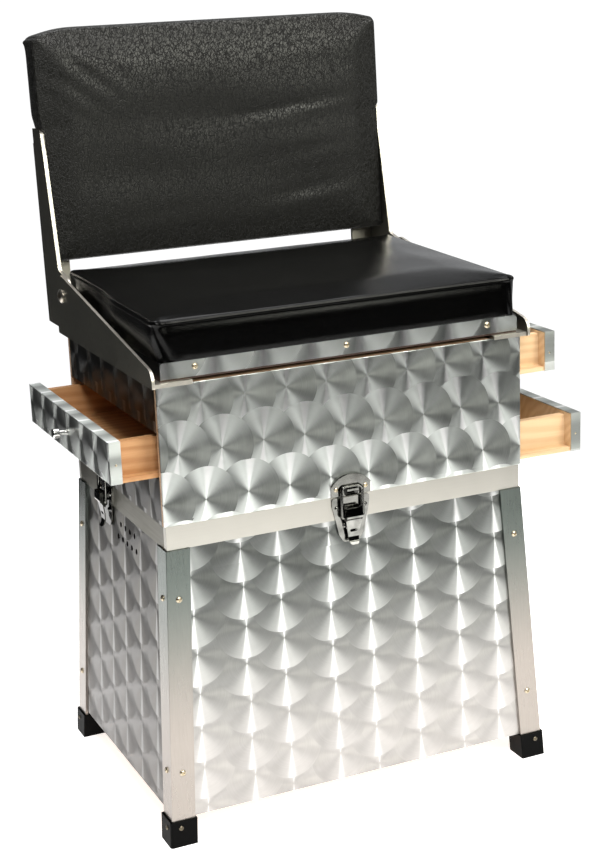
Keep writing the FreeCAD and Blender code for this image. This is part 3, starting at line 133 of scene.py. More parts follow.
class Tree:
    """Nodes of one material or of the world."""

    def __init__(self, owner):
        owner.use_nodes = True
        self.owner = owner
        self.nodes = owner.node_tree.nodes
        self.links = owner.node_tree.links
        self.nodes.clear()

    def feed(self, socket, value):
        if isinstance(value, Num):
            value = value.socket
        if isinstance(value, bpy.types.NodeSocket):
            self.links.new(value, socket)
        elif value is not None:
            socket.default_value = value

    def node(self, kind, inputs=None, **settings):
        made = self.nodes.new("ShaderNode" + kind)
        for key, value in settings.items():
            setattr(made, key, value)
        for key, value in (inputs or {}).items():
            self.feed(made.inputs[key], value)
        return made

    def math(self, operation, *values):
        made = self.node("Math", dict(enumerate(values)), operation=operation)
        return Num(self, made.outputs[0])

    def xyz(self, x=0.0, y=0.0, z=0.0):
        return self.node("CombineXYZ", {0: x, 1: y, 2: z}).outputs[0]

    def split(self, vector):
        made = self.node("SeparateXYZ", {0: vector})
        return [Num(self, made.outputs[i]) for i in range(3)]

    def place(self):
        """Object coordinates, which are the frame's own at rest."""
        return self.split(self.node("TexCoord").outputs["Object"])

    def noise(self, vector, scale=1.0, detail=2.0, rough=0.5):
        made = self.node("TexNoise", {"Vector": vector, "Scale": scale, "Detail": detail,
                                      "Roughness": rough})
        return Num(self, made.outputs[0])

    def cells(self, vector, scale):
        """Distance to the nearest edge between cells."""
        made = self.node("TexVoronoi", {"Vector": vector, "Scale": scale, "Randomness": 1.0},
                         feature="DISTANCE_TO_EDGE")
        return Num(self, made.outputs["Distance"])

    def hashed(self, a, b):
        """Three random numbers from 0 to 1 for a pair of whole numbers."""
        made = self.node("TexWhiteNoise", {"Vector": self.xyz(a, b)}, noise_dimensions="2D")
        return self.split(made.outputs["Color"])

    def smooth(self, value, low, high, to_low=0.0, to_high=1.0):
        made = self.node("MapRange", {0: value, 1: low, 2: high, 3: to_low, 4: to_high},
                         interpolation_type="SMOOTHSTEP")
        return Num(self, made.outputs[0])

    def ramp(self, value, stops):
        made = self.node("ValToRGB", {0: value})
        bar = made.color_ramp.elements
        while len(bar) < len(stops):
            bar.new(0.5)
        for element, (at, colour) in zip(bar, stops):
            element.position = at
            element.color = (*colour, 1.0)
        return made.outputs[0]

    def tint(self, colour, value):
        """A colour times a number."""
        made = self.node("VectorMath", {0: colour, "Scale": value}, operation="SCALE")
        return made.outputs[0]

    def blend(self, factor, a, b):
        made = self.node("Mix", {0: factor, 6: a, 7: b}, data_type="RGBA")
        return made.outputs[2]

    def bump(self, height, strength=1.0, under=None):
        """Height in metres."""
        made = self.node("Bump", {"Strength": strength, "Distance": 1.0, "Height": height,
                                  "Normal": under})
        return made.outputs[0]


def material(name, **inputs):
    """A new material with one Principled shader; the rest is fed by the caller."""
    tree = Tree(bpy.data.materials.new(name))
    shader = tree.node("BsdfPrincipled")
    output = tree.node("OutputMaterial")
    tree.links.new(shader.outputs[0], output.inputs[0])
    tree.shader = shader
    for key, value in inputs.items():
        tree.feed(shader.inputs[key.replace("_", " ")], value)
    return tree


# Metals


def spun_discs(t, u, v, disc, pitch, first, flips, counts, stagger, shake, column_shake):
    """Offset from the middle of the topmost spun disc over a place, and that disc's numbers.
    Discs lie in rows; the lowest row is on top, and in a row the leftmost, unless flipped."""
    uu = (u - first[0]) * flips[0]
    vv = (v - first[1]) * flips[1]
    found = None
    candidates = [(r, c) for r in range(counts[0]) for c in range(counts[1])]
    for r, c in reversed(candidates):
        row = ((vv - disc) / pitch[1]).ceil() + float(r)
        odd = row - (row * 0.5).floor() * 2.0
        shift = odd * (stagger * pitch[0])
        column = ((uu - shift - disc) / pitch[0]).ceil() + float(c)
        a, b, _ = t.hashed(row, column)
        column_a, _, _ = t.hashed(column * 2.0 + odd, 7.0)
        du = uu - shift - column * pitch[0] - (a - 0.5) * shake - (column_a - 0.5) * column_shake
        dv = vv - row * pitch[1] - (b - 0.5) * shake
        here = t.xyz(du, dv, row * 17.0 + column)
        if found is None:
            found = here
            continue
        inside = t.math("LESS_THAN", du * du + dv * dv, disc * disc)
        found = t.node("Mix", {0: inside, 4: found, 5: here}, data_type="VECTOR").outputs[1]
    du, dv, number = t.split(found)
    return du * flips[0], dv * flips[1], number


def spun_metal(name, axes, disc=0.0335, pitch=(0.0443, 0.0503), first=(0.0, 0.0), flips=(1, 1),
               counts=(2, 2), stagger=0.42, shake=0.0024, column_shake=0.0, highlight_lean=-0.9, middle=0.0,
               colours=((0.80, 0.83, 0.80), (0.80, 0.83, 0.80)), painted_fade_heights=(0.3, 0.5),
               plain=(0.80, 0.80), bow_highlight=(0.60, 0.60), flank_shade=(0.62, 0.62)):
    """Aluminium sheet finished with overlapping spun discs. axes are the sheet's own across
    and up axes (0 to 2); each disc has a painted highlight, a bright upright bow leaning across
    the sheet, and painted shade, dark flanks. The pairs are for the lower and the upper height,
    between which the painted light fades."""
    t = material(name, Metallic=1.0, Anisotropic=0.88)
    place = t.place()
    u, v = place[axes[0]], place[axes[1]]
    du, dv, number = spun_discs(t, u, v, disc, pitch, first, flips, counts, stagger, shake,
                                column_shake)
    r = (du * du + dv * dv + 1e-9).sqrt()
    # painted highlight and painted shade: a bright upright bow and dark flanks round each disc's
    # middle, the bow leaning with the place across the sheet
    slope = (u - middle) * highlight_lean
    across = abs(du - slope * dv) / r
    bow_highlight_mask = t.smooth(across, 0.02, 0.26, 1.0, 0.0)
    side = t.smooth(across, 0.30, 0.95)
    lines = t.noise(t.xyz(r, number * 3.7), 900.0, 3.0, 0.7)
    cloud = t.noise(t.xyz(u, v, number), 22.0, 3.0, 0.55)
    # painted light: colours and levels fade from the lower to the upper height; where the pairs
    # differ, the lower part is paler and of less contrast
    high = t.smooth(place[2], painted_fade_heights[0], painted_fade_heights[1])

    def at(pair):
        return pair[0] + high * (pair[1] - pair[0])

    value = at(plain) + bow_highlight_mask * bow_highlight_mask * at(bow_highlight) - side * at(flank_shade) * (cloud * 1.2 + 0.4)
    value = value + (lines - 0.5) * 0.12 + (cloud - 0.5) * at(plain) * 0.5
    low_colour, high_colour = [(*colour, 1.0) for colour in colours]
    shade = t.blend(high.socket, low_colour, high_colour)
    # painted highlight: the colour goes towards white along the bow
    shade = t.blend((bow_highlight_mask * 0.8).socket, shade, (1.0, 1.0, 1.0, 1.0))
    t.feed(t.shader.inputs["Base Color"], t.tint(shade, value.clamp()))
    t.feed(t.shader.inputs["Roughness"], 0.36 + (lines - 0.5) * 0.16 + (cloud - 0.5) * 0.08)
    sides = [0.0, 0.0, 0.0]
    sides[axes[0]] = dv * -1.0 / r
    sides[axes[1]] = du / r
    t.feed(t.shader.inputs["Tangent"], t.xyz(*sides))
    ridges = t.noise(t.xyz(r, number), 1400.0, 1.0) * 0.00001
    t.feed(t.shader.inputs["Normal"], t.bump(ridges, 0.35))
    return t.owner


def brushed_metal(name, along, colours, painted_fade_heights=(0.0, 0.3), rough=0.3, streak=0.12, blotch=0.1,
                  aniso=0.5, scale=700.0):
    """Metal with fine straight lines along one axis (0 to 2), its colour changing with the
    height: painted light, paler low where the two colours differ."""
    t = material(name, Metallic=1.0, Anisotropic=aniso)
    place = t.place()
    line = [p * (0.02 if i == along else 1.0) for i, p in enumerate(place)]
    lines = t.noise(t.xyz(*line), scale, 3.0, 0.65)
    cloud = t.noise(t.xyz(*place), 14.0, 3.0, 0.6)
    value = 1.0 + (lines - 0.5) * streak * 2.0 + (cloud - 0.5) * blotch * 2.0
    low_colour, high_colour = [(*colour, 1.0) for colour in colours]
    # painted light: the colour fades from the lower one to the upper one between the heights
    shade = t.blend(t.smooth(place[2], *painted_fade_heights).socket, low_colour, high_colour)
    t.feed(t.shader.inputs["Base Color"], t.tint(shade, value))
    t.feed(t.shader.inputs["Roughness"], (lines - 0.5) * 0.2 + (cloud - 0.5) * 0.12 + rough)
    tangent = [0.0, 0.0, 0.0]
    tangent[along] = 1.0
    t.feed(t.shader.inputs["Tangent"], t.xyz(*tangent))
    t.feed(t.shader.inputs["Normal"], t.bump(lines * 0.000012, 0.4))
    return t.owner


def plain_metal(name, colour, rough, stains_and_reflection_spots=0.08, scale=60.0, dirt=0.0, edge=None, dark_below=None,
                reflection_bands=0.0):
    """Bright or dull metal with soft uneven stains (strong spots are painted reflections); faces that
    don't look sideways may have a painted highlight colour of their own, what lies below a height may
    be darker, and painted reflection bands follow bends."""
    t = material(name, Metallic=1.0)
    x, y, z = t.place()
    place = t.xyz(x, y, z)
    cloud = t.noise(place, scale, 4.0, 0.6)
    fine = t.noise(place, scale * 12.0, 3.0, 0.6)
    value = 1.0 + (cloud - 0.5) * stains_and_reflection_spots * 2.0 - t.smooth(fine, 0.55, 0.75) * dirt
    if reflection_bands:
        # painted reflection: bands darken the colour by the way the surface faces
        facing = t.noise(t.node("TexCoord").outputs["Normal"], 2.3, 1.0)
        value = value * (1.0 - t.smooth(facing, 0.40, 0.55) * reflection_bands)
    if dark_below:
        value = value * t.smooth(z, dark_below - 0.002, dark_below + 0.002, 0.3, 1.0)
    shade = colour
    if edge:
        # painted highlight: faces that don't look sideways take the pale edge colour, while the
        # sideways faces keep the darker colour as painted shade
        sideways = abs(t.split(t.node("TexCoord").outputs["Normal"])[0])
        shade = t.blend(t.smooth(sideways, 0.25, 0.75).socket, (*edge, 1.0), (*colour, 1.0))
    t.feed(t.shader.inputs["Base Color"], t.tint(shade, value))
    t.feed(t.shader.inputs["Roughness"], (cloud - 0.5) * 0.12 + (fine - 0.5) * 0.08 + rough)
    t.feed(t.shader.inputs["Normal"], t.bump(fine * 0.00001, 0.3))
    return t.owner


# Wood, plastic and vinyl


def wood(name, along, light, dark, rings=90.0, stretch=0.06, rough=0.55, seed=0.0):
    """Planed softwood whose grain runs along one axis (0 to 2)."""
    t = material(name)
    place = t.place()
    line = [p * (stretch if i == along else 1.0) + seed for i, p in enumerate(place)]
    across = t.xyz(*line)
    warp = t.noise(across, 16.0, 2.0, 0.5)
    sums = line[0] + line[1] * 0.8 + line[2]
    year = t.math("SINE", (sums + warp * 0.05) * rings * 6.28)
    year = t.smooth(year, -0.9, 1.0)
    drawn_out = [p * (0.02 if i == along else 1.0) for i, p in enumerate(place)]
    pores = t.noise(t.xyz(*drawn_out), 1500.0, 3.0, 0.7)
    cloud = t.noise(across, 9.0, 3.0, 0.6)
    share = (year * 0.42 + cloud * 0.5 + (pores - 0.5) * 0.5).clamp()
    t.feed(t.shader.inputs["Base Color"], t.ramp(share, [(0.1, light), (0.95, dark)]))
    t.feed(t.shader.inputs["Roughness"], (pores - 0.5) * 0.2 + rough)
    t.feed(t.shader.inputs["Normal"], t.bump((pores + year * 0.6) * 0.00006, 0.6))
    return t.owner


def plywood(name, light, dark, layers=0.0013):
    """Board with thin layers seen on its edges and a flat grain on its faces."""
    t = material(name)
    x, y, z = t.place()
    ply = (z / layers).floor()
    a, b, _ = t.hashed(ply, 3.0)
    pores = t.noise(t.xyz(x * 0.05, y * 0.6, z), 900.0, 3.0, 0.7)
    cloud = t.noise(t.xyz(x, y * 3.0, ply * 0.37), 14.0, 3.0, 0.6)
    share = (a * 0.45 + cloud * 0.45 + (pores - 0.5) * 0.6).clamp()
    t.feed(t.shader.inputs["Base Color"], t.ramp(share, [(0.1, light), (0.95, dark)]))
    t.feed(t.shader.inputs["Roughness"], (pores - 0.5) * 0.2 + 0.62)
    t.feed(t.shader.inputs["Normal"], t.bump((pores + b * 0.5) * 0.00005, 0.6))
    return t.owner


def moulded_plastic(name, colour):
    t = material(name, IOR=1.5, Specular_IOR_Level=0.05)
    place = t.xyz(*t.place())
    cloud = t.noise(place, 40.0, 3.0, 0.6)
    grain = t.noise(place, 1500.0, 2.0, 0.6)
    t.feed(t.shader.inputs["Base Color"], t.tint((*colour,), 0.8 + cloud * 0.4))
    t.feed(t.shader.inputs["Roughness"], 0.38 + cloud * 0.16 + grain * 0.08)
    t.feed(t.shader.inputs["Normal"], t.bump(grain * 0.00004, 0.5))
    return t.owner


def covered_board(name, bare, cover, edge):
    """Board under a cover that ends at a height, with its bare lower edge below it."""
    t = material(name, Roughness=0.5, IOR=1.5)
    _, _, z = t.place()
    above = t.smooth(z, edge - 0.0004, edge + 0.0004)
    t.feed(t.shader.inputs["Base Color"], t.blend(above.socket, (*bare, 1.0), (*cover, 1.0)))
    return t.owner


def vinyl(name, colour, rough, grain_scale, grain_height, crease_height, specular=0.5, creased=0.05):
    """Black upholstery vinyl: pebbled cells between duller creases, over slow waves; the cells'
    borders are painted darker, painted shade in the grain's grooves.
    """
    t = material(name, IOR=1.42, Specular_IOR_Level=specular)
    x, y, z = t.place()
    wobble = t.noise(t.xyz(x, y, z), 160.0, 3.0, 0.6) * 0.006
    cell = t.cells(t.xyz(x * 1.25 + wobble, y + wobble, z * 0.8 + wobble), grain_scale)
    crease = t.cells(t.xyz(x * 1.5 + wobble * 2.0, y, z * 0.75 + wobble), grain_scale * 0.42)
    fine = t.noise(t.xyz(x, y, z), 2600.0, 2.0, 0.6)
    patch = t.noise(t.xyz(x, y, z), 9.0, 4.0, 0.55)
    pebble = t.smooth(cell, 0.0, 0.13)
    fold = t.smooth(crease, 0.0, 0.07)
    height = pebble * grain_height + fold * crease_height + fine * (grain_height * 0.3)
    # painted shade: the colour is darker at the cells' borders, in the grain's grooves
    value = 0.55 + pebble * 0.5 + (patch - 0.5) * 0.5
    t.feed(t.shader.inputs["Base Color"], t.tint((*colour,), value))
    dull = (1.0 - pebble * fold) * creased
    t.feed(t.shader.inputs["Roughness"], rough + (patch - 0.5) * 0.12 + dull + (fine - 0.5) * 0.1)
    t.feed(t.shader.inputs["Normal"], t.bump(height, 0.9))
    return t.owner


# Cushions: a grid on a box, rounded, filled by pressure, then sewn

ON_FACE = 0.0005  # a point this near a side of the box lies on it
ON_SIDE = 0.999  # and so does one past this share of the half size
NEAR_SIDE = 0.995
SEAM_REACH = 0.004  # from a seam, where the sheet is held
SEAM_HOLD = 0.6
STITCH_WIDTH = 0.0016
STIFFNESS = 18.0
FRAMES = 20  # of each simulation


def spaced(half_low, half_high, edge, edge_steps, step):
    """Places from low to high, close together near both ends."""
    inner = max(1, round((half_high - half_low - 2 * edge) / step))
    places = [half_low + edge * i / edge_steps for i in range(edge_steps)]
    places += [half_low + edge + (half_high - half_low - 2 * edge) * i / inner for i in range(inner)]
    places += [half_high - edge + edge * i / edge_steps for i in range(edge_steps + 1)]
    return places


def box_grid(name, xs, ys, zs):
    """Mesh over the six sides of a box, through the given places along each axis."""
    mesh = bpy.data.meshes.new(name)
    index = {}
    points = []

    def at(i, j, k):
        key = (i, j, k)
        if key not in index:
            index[key] = len(points)
            points.append((xs[i], ys[j], zs[k]))
        return index[key]

    last = (len(xs) - 1, len(ys) - 1, len(zs) - 1)
    faces = []
    for axis in range(3):
        a, b = (axis + 1) % 3, (axis + 2) % 3
        for end in (0, last[axis]):
            for p in range(last[a]):
                for q in range(last[b]):
                    ring = []
                    for dp, dq in ((0, 0), (1, 0), (1, 1), (0, 1)):
                        key = [0, 0, 0]
                        key[axis] = end
                        key[a] = p + dp
                        key[b] = q + dq
                        ring.append(at(*key))
                    faces.append(ring if end else ring[::-1])
    mesh.from_pydata(points, [], faces)
    mesh.update()
    piece = bpy.data.objects.new(name, mesh)
    bpy.context.scene.collection.objects.link(piece)
    return piece


def coordinates(mesh):
    co = np.zeros(len(mesh.vertices) * 3)
    mesh.vertices.foreach_get("co", co)
    return co.reshape(-1, 3)


def set_coordinates(mesh, co):
    mesh.vertices.foreach_set("co", co.astype(np.float32).ravel())
    mesh.update()


def rounded(co, half, radius):
    """Box points with their edges rounded; half and radius are in the same three axes."""
    inner = half - radius
    core = np.clip(co, -inner, inner)
    out = (co - core) / radius
    length = np.sqrt((out ** 2).sum(1, keepdims=True))
    reach = np.abs(out).max(1, keepdims=True)
    out = np.where(length > 1e-9, out / np.maximum(length, 1e-9) * reach, 0.0)
    return core + out * radius


def slow_noise(co, seed, waves, longest):
    """Smooth bumps between about -1 and 1, the same in each run."""
    made = np.random.default_rng(seed)
    total = np.zeros(len(co))
    for _ in range(waves):
        direction = made.normal(size=3)
        direction /= np.linalg.norm(direction)
        wave = 2 * math.pi / (longest * made.uniform(0.35, 1.0))
        total += np.sin(co @ direction * wave + made.uniform(0, 6.28))
    return total / math.sqrt(waves)


def fill_by_pressure(piece, held, pressure, limit):
    """Cloth filled from inside by pressure. held is how firmly each point stays, and no
    point may move further than limit along each axis."""
    rest = coordinates(piece.data)
    group = piece.vertex_groups.new(name="held")
    for i, weight in enumerate(held):
        if weight > 0.001:
            group.add([i], float(weight), "REPLACE")
    cloth = piece.modifiers.new("cloth", "CLOTH")
    settings = cloth.settings
    settings.quality = 5
    settings.mass = 0.3
    settings.tension_stiffness = STIFFNESS
    settings.compression_stiffness = STIFFNESS
    settings.shear_stiffness = STIFFNESS * 0.5
    settings.bending_stiffness = 1.2
    settings.use_pressure = True
    settings.uniform_pressure_force = pressure
    settings.vertex_group_mass = "held"
    settings.pin_stiffness = 2.0
    settings.effector_weights.gravity = 0.0
    cloth.collision_settings.use_collision = False
    cloth.point_cache.frame_start = 1
    cloth.point_cache.frame_end = FRAMES
    scene = bpy.context.scene
    for number in range(1, FRAMES + 1):
        scene.frame_set(number)
    graph = bpy.context.evaluated_depsgraph_get()
    filled = piece.evaluated_get(graph).to_mesh()
    moved = coordinates(filled) - rest
    piece.evaluated_get(graph).to_mesh_clear()
    piece.modifiers.remove(cloth)
    piece.vertex_groups.remove(group)
    scene.frame_set(1)
    set_coordinates(piece.data, rest + np.clip(moved, -limit, limit))


def groove(distance, depth):
    """Depth of a sewn line at a distance from it."""
    return depth * np.exp(-(distance / STITCH_WIDTH) ** 2)


def draw_in(co, flat, axis, share, pull):
    """Pull the points on the two sides across an axis inwards."""
    co[:, axis] -= np.sign(flat[:, axis]) * pull * (np.abs(share) > ON_SIDE)


def dome_over(a, b):
    """From 0 at the edges to 1 over most of a face; a and b are shares of its half sizes."""
    return np.clip((1 - np.abs(a) ** 4) * (1 - np.abs(b) ** 4), 0, 1)


def hold_near(distance, edge):
    """How firmly the sheet is held near a seam along the edges of a face."""
    return np.exp(-((distance / SEAM_REACH) ** 2)) * (edge > NEAR_SIDE) * SEAM_HOLD


def smooth_step(x, low, high):
    s = np.clip((x - low) / (high - low), 0, 1)
    return s * s * (3 - 2 * s)


def finish_soft(piece, body, node, look):
    piece.data.materials.append(look)
    piece.data.shade_smooth()
    finer = piece.modifiers.new("finer", "SUBSURF")
    finer.levels = 1
    finer.render_levels = 1
    graph = bpy.context.evaluated_depsgraph_get()
    shape = bpy.data.meshes.new_from_object(piece.evaluated_get(graph))
    piece.modifiers.clear()
    piece.data = shape
    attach(piece, body)
    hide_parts(node)


def seat_cushion(look):
    """Held on its board; the seam round its top lies higher at the rear."""
    low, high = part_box("seat_cushion")
    crown = 0.0045
    rise = 0.007
    room_above, room_beside = 0.001, 0.0008
    radii = np.array([0.010, 0.010, 0.0065])
    stitch_drop, stitch_depth = 0.0085, 0.0009
    centre = (low + high) / 2
    centre.z = (low.z + high.z - room_above) / 2
    half = np.array([(high.x - low.x) / 2, (high.y - low.y) / 2, (high.z - low.z - room_above) / 2])
    half -= np.array([room_beside, room_beside, 0.0])
    grid = [spaced(-h, h, edge=0.012, edge_steps=7, step=0.007) for h in half[:2]]
    grid.append(spaced(-half[2], half[2], edge=0.009, edge_steps=6, step=0.006))
    piece = box_grid("seat_cushion_cover", *grid)
    flat = coordinates(piece.data)
    co = rounded(flat.copy(), half, radii)
    # its lower half is a skirt, rounded only round the upright corners
    skirt = flat[:, 2] < 0
    co[skirt, 2] = flat[skirt, 2]
    co[skirt, :2] = rounded(flat[skirt] * np.array([1, 1, 0]), half, radii)[:, :2]
    a, b = flat[:, 0] / half[0], flat[:, 1] / half[1]
    lower = 1.0 - rise * (1 - b) / (4 * half[2])
    co[:, 2] = (co[:, 2] + half[2]) * lower - half[2]
    top = smooth_step(flat[:, 2], -half[2], half[2])
    upper = flat[:, 2] > half[2] - ON_FACE
    under = flat[:, 2] < -half[2] + ON_FACE
    set_coordinates(piece.data, co)
    # the sheet is held on the board, and drawn tight along its upper edge
    edge = np.maximum(np.abs(a), np.abs(b))
    held = np.clip(np.where(under, 1.0, hold_near(half[2] - flat[:, 2], edge)), 0, 1)
    fill_by_pressure(piece, held, pressure=3.0, limit=np.array([0.0006, 0.0006, crown]))
    co = coordinates(piece.data)
    dome = dome_over(a, b)
    # sewn line a little below the upper edge, on the four sides
    pull = groove(np.abs(half[2] - stitch_drop - flat[:, 2]), stitch_depth)
    pull = pull * (edge > ON_SIDE)
    draw_in(co, flat, 0, a, pull)
    draw_in(co, flat, 1, b, pull)
    # slow unevenness and short pleats beside the front corners
    co[:, 2] += 0.0005 * slow_noise(flat, seed=5, waves=9, longest=0.16) * upper * dome ** 0.3
    pleat_reach, pleat_depth = 0.03, 0.0009
    near = np.exp(-(((half[0] - np.abs(flat[:, 0])) / pleat_reach) ** 2)) * (b < -0.98)
    pleats = np.sin(flat[:, 0] * 520.0 + flat[:, 2] * 130.0)
    co[:, 1] += pleat_depth * near * pleats * (1 - under)
    widest = half[0] + 0.0012
    co[:, 0] = np.clip(co[:, 0], -widest, widest)
    # its left side stands out over the bracket, clear of the folded arm; the right is drawn in
    left_out, left_out_in_front, right_in = 0.0015, 0.0050, 0.0012
    before_arm = smooth_step(flat[:, 1], 0.030, -0.030)
    left = smooth_step(a, 0.2, -1.0) * top ** 0.8
    co[:, 0] -= left * (left_out + before_arm * left_out_in_front)
    co[:, 0] -= smooth_step(a, 0.5, 1.0) * right_in
    # corners of the top are pulled out to small points
    corner = smooth_step(np.abs(a), 0.93, 1.0) * smooth_step(np.abs(b), 0.9, 1.0) * top ** 3
    co[:, 0] += np.sign(flat[:, 0]) * 0.0010 * corner * (b < 0)
    co[:, 1] += np.sign(flat[:, 1]) * 0.0022 * corner
    co[:, 2] += 0.0008 * corner
    co += np.array(centre)
    set_coordinates(piece.data, co)
    finish_soft(piece, "box", "seat_cushion", look)


def face_creases(x, z):
    """Level creases in the lower half of the backrest's face, and a pull from a corner."""
    slope, spacing, spread = 0.12, 0.0052, 0.011
    total = 0.0
    for middle, height, reach, depth in ((0.11, -0.075, 0.055, 0.0013), (0.09, 0.02, 0.07, 0.0009),
                                         (0.12, -0.03, 0.05, 0.0007), (-0.10, -0.09, 0.06, 0.0006)):
        line = z - height - slope * (x - middle)
        total = total + depth * np.exp(-((x - middle) / reach) ** 2) * np.sin(line / spacing) \
            * np.exp(-(line / spread) ** 2)
    from_corner = np.exp(-(((x + 0.165) / 0.05) ** 2) - ((z - 0.085) / 0.04) ** 2)
    return total + 0.0012 * from_corner * np.sin((x + z * 1.2) * 190.0)


def backrest_cushion(look):
    """Built upright with its back at y = 0 and its face towards -Y, then leant back."""
    low_up, high_up = 0.068, 0.3165  # its edges, up from the arms' feet
    width, depth = 0.4064, 0.034
    behind_back = 0.004  # from its back to the arms' rear
    room_beside, room_above = 0.0004, 0.0006
    radii = np.array([0.0070, 0.0080, 0.0070])
    stitch_behind, stitch_depth = 0.011, 0.0012
    shoulder, shoulder_run = 0.008, 0.045
    arm_inside, arm_top = 0.1989, 0.2123
    middle_up = (low_up + high_up) / 2
    half = np.array([width / 2 - room_beside, depth / 2, (high_up - low_up) / 2 - room_above])
    steps = (0.007, 0.005, 0.007)
    xs, ys, zs = [spaced(-h, h, edge=0.009, edge_steps=6, step=s) for h, s in zip(half, steps)]
    # more rings where its sides step out over the arms' tops
    step_up = arm_top - middle_up
    rings = [step_up + k * 0.0016 for k in range(-1, 5)]
    zs = sorted([z for z in zs if not -0.003 < z - step_up < 0.008] + rings)
    piece = box_grid("backrest_cushion_cover", xs, ys, zs)
    flat = coordinates(piece.data)
    co = rounded(flat.copy(), half, radii)
    a, c = flat[:, 0] / half[0], flat[:, 2] / half[2]
    at_back = flat[:, 1] > half[1] - ON_FACE
    set_coordinates(piece.data, co)
    edge = np.maximum(np.abs(a), np.abs(c))
    held = np.clip(np.where(at_back, 1.0, hold_near(flat[:, 1] + half[1], edge)), 0, 1)
    fill_by_pressure(piece, held, pressure=2.5, limit=np.array([0.0008, 0.004, 0.0012]))
    co = coordinates(piece.data)
    face = flat[:, 1] < -half[1] + ON_FACE
    dome = dome_over(a, c)
    # sewn line round the face, just behind its edge
    pull = groove(np.abs(flat[:, 1] + half[1] - stitch_behind), stitch_depth)
    draw_in(co, flat, 0, a, pull)
    draw_in(co, flat, 2, c, pull)
    # slow waves and creases over the face
    wave_height = 0.0006
    waves = wave_height * slow_noise(flat * np.array([0.6, 1.0, 1.6]), seed=11, waves=10, longest=0.17)
    x, z = flat[:, 0], flat[:, 2]
    co[:, 1] += (waves + face_creases(x, z)) * face * dome ** 0.4
    # below the arms' tops its sides are pressed in between them
    pressed = smooth_step(z, step_up + 0.0060, step_up + 0.0006)
    squeeze = np.clip(np.abs(co[:, 0]) - arm_inside, 0, None) * pressed
    co[:, 0] -= np.sign(co[:, 0]) * squeeze
    # above them it stands out on the left
    left_out = 0.0026
    above = smooth_step(z, step_up + 0.006, step_up + 0.020) * smooth_step(c, 1.0, 0.96)
    co[:, 0] -= left_out * above * smooth_step(a, -0.6, -1.0)
    # the upper corners fall away, and their tips are pinched out
    tip_rise, tip_out = 0.0015, 0.0040
    top = smooth_step(c, -1.0, 1.0)
    run = np.clip((np.abs(x) - (half[0] - shoulder_run)) / shoulder_run, 0, 1)
    co[:, 2] -= shoulder * run ** 2 * top
    tip = smooth_step(np.abs(a), 0.95, 1.0) * smooth_step(c, 0.9, 1.0)
    rearward = smooth_step(flat[:, 1], -half[1], half[1])
    co[:, 2] += tip_rise * tip * (1 - rearward)
    co[:, 0] -= tip_out * tip * (a < 0) * rearward
    foot_y, foot_z = backrest_foot()
    turn = np.array(Matrix.Rotation(-BACK_LEAN, 3, "X"))
    co = (co + np.array([0, -(behind_back + depth / 2), middle_up])) @ turn.T
    co += np.array([middle_x(), foot_y, foot_z])
    set_coordinates(piece.data, co)
    finish_soft(piece, "backrest", "backrest_cushion", look)


def middle_x():
    low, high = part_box("backrest_cushion")
    return (low.x + high.x) / 2


def backrest_foot():
    """Rear foot of the backrest's arms."""
    low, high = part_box("backrest_arm_left")
    return high.y - ARM_FLANGE_TOP * math.sin(BACK_LEAN), low.z


# Small things


def nail_heads(look):
    """Flat round nail heads in both ends of each drawer's metal front."""
    head_radius, head_flatness = 0.0012, 0.35
    inset, offset = 0.0055, 0.002
    for name, side in (("bottom", 1), ("middle", -1), ("top", 1)):
        low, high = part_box(name + "_drawer_facing")
        mesh = bpy.data.meshes.new(name + "_drawer_nails")
        shape = bmesh.new()
        middle_z = (low.z + high.z) / 2
        inner = low.x if side > 0 else high.x
        for end in (-1, 1):
            y = high.y if end > 0 else low.y
            at = Vector((inner + side * inset, y, middle_z + offset * end))
            turn = Matrix.Rotation(math.radians(90) * end, 4, "X").inverted()
            where = Matrix.Translation(at) @ turn
            bmesh.ops.create_uvsphere(shape, u_segments=16, v_segments=8, radius=head_radius,
                                      matrix=where @ Matrix.Diagonal((1, 1, head_flatness, 1)))
        shape.to_mesh(mesh)
        shape.free()
        piece = bpy.data.objects.new(name + "_drawer_nails", mesh)
        bpy.context.scene.collection.objects.link(piece)
        mesh.materials.append(look)
        mesh.shade_smooth()
        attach(piece, name + "_drawer")


# Light and floor


def area_light(name, at, towards, size, power, colour=(1, 1, 1)):
    data = bpy.data.lights.new(name, "AREA")
    data.shape = "RECTANGLE"
    data.size, data.size_y = size
    data.energy = power
    data.color = colour
    light = bpy.data.objects.new(name, data)
    bpy.context.scene.collection.objects.link(light)
    light.location = at
    light.rotation_mode = "QUATERNION"
    light.rotation_quaternion = (Vector(towards) - Vector(at)).to_track_quat("-Z", "Y")


def make_world():
    world = bpy.data.worlds.new("studio")
    bpy.context.scene.world = world
    t = Tree(world)
    x, y, z = t.split(t.node("TexCoord").outputs["Generated"])
    back = t.smooth(x * 0.8 + y * 0.6, 0.40, 0.75) * t.smooth(z, 0.75, 0.2)
    ceiling = t.smooth(z, 0.35, 0.9)
    level = 0.02 + back * 0.60 + ceiling * 0.35
    around = t.node("Background", {0: (0.97, 0.985, 1.0, 1.0), 1: level})
    seen = t.node("Background", {0: (1.0, 1.0, 1.0, 1.0), 1: 1.05})
    path = t.node("LightPath")
    both = t.node("MixShader", {0: path.outputs["Is Camera Ray"], 1: around.outputs[0],
                                2: seen.outputs[0]})
    output = t.node("OutputWorld")
    t.links.new(both.outputs[0], output.inputs[0])


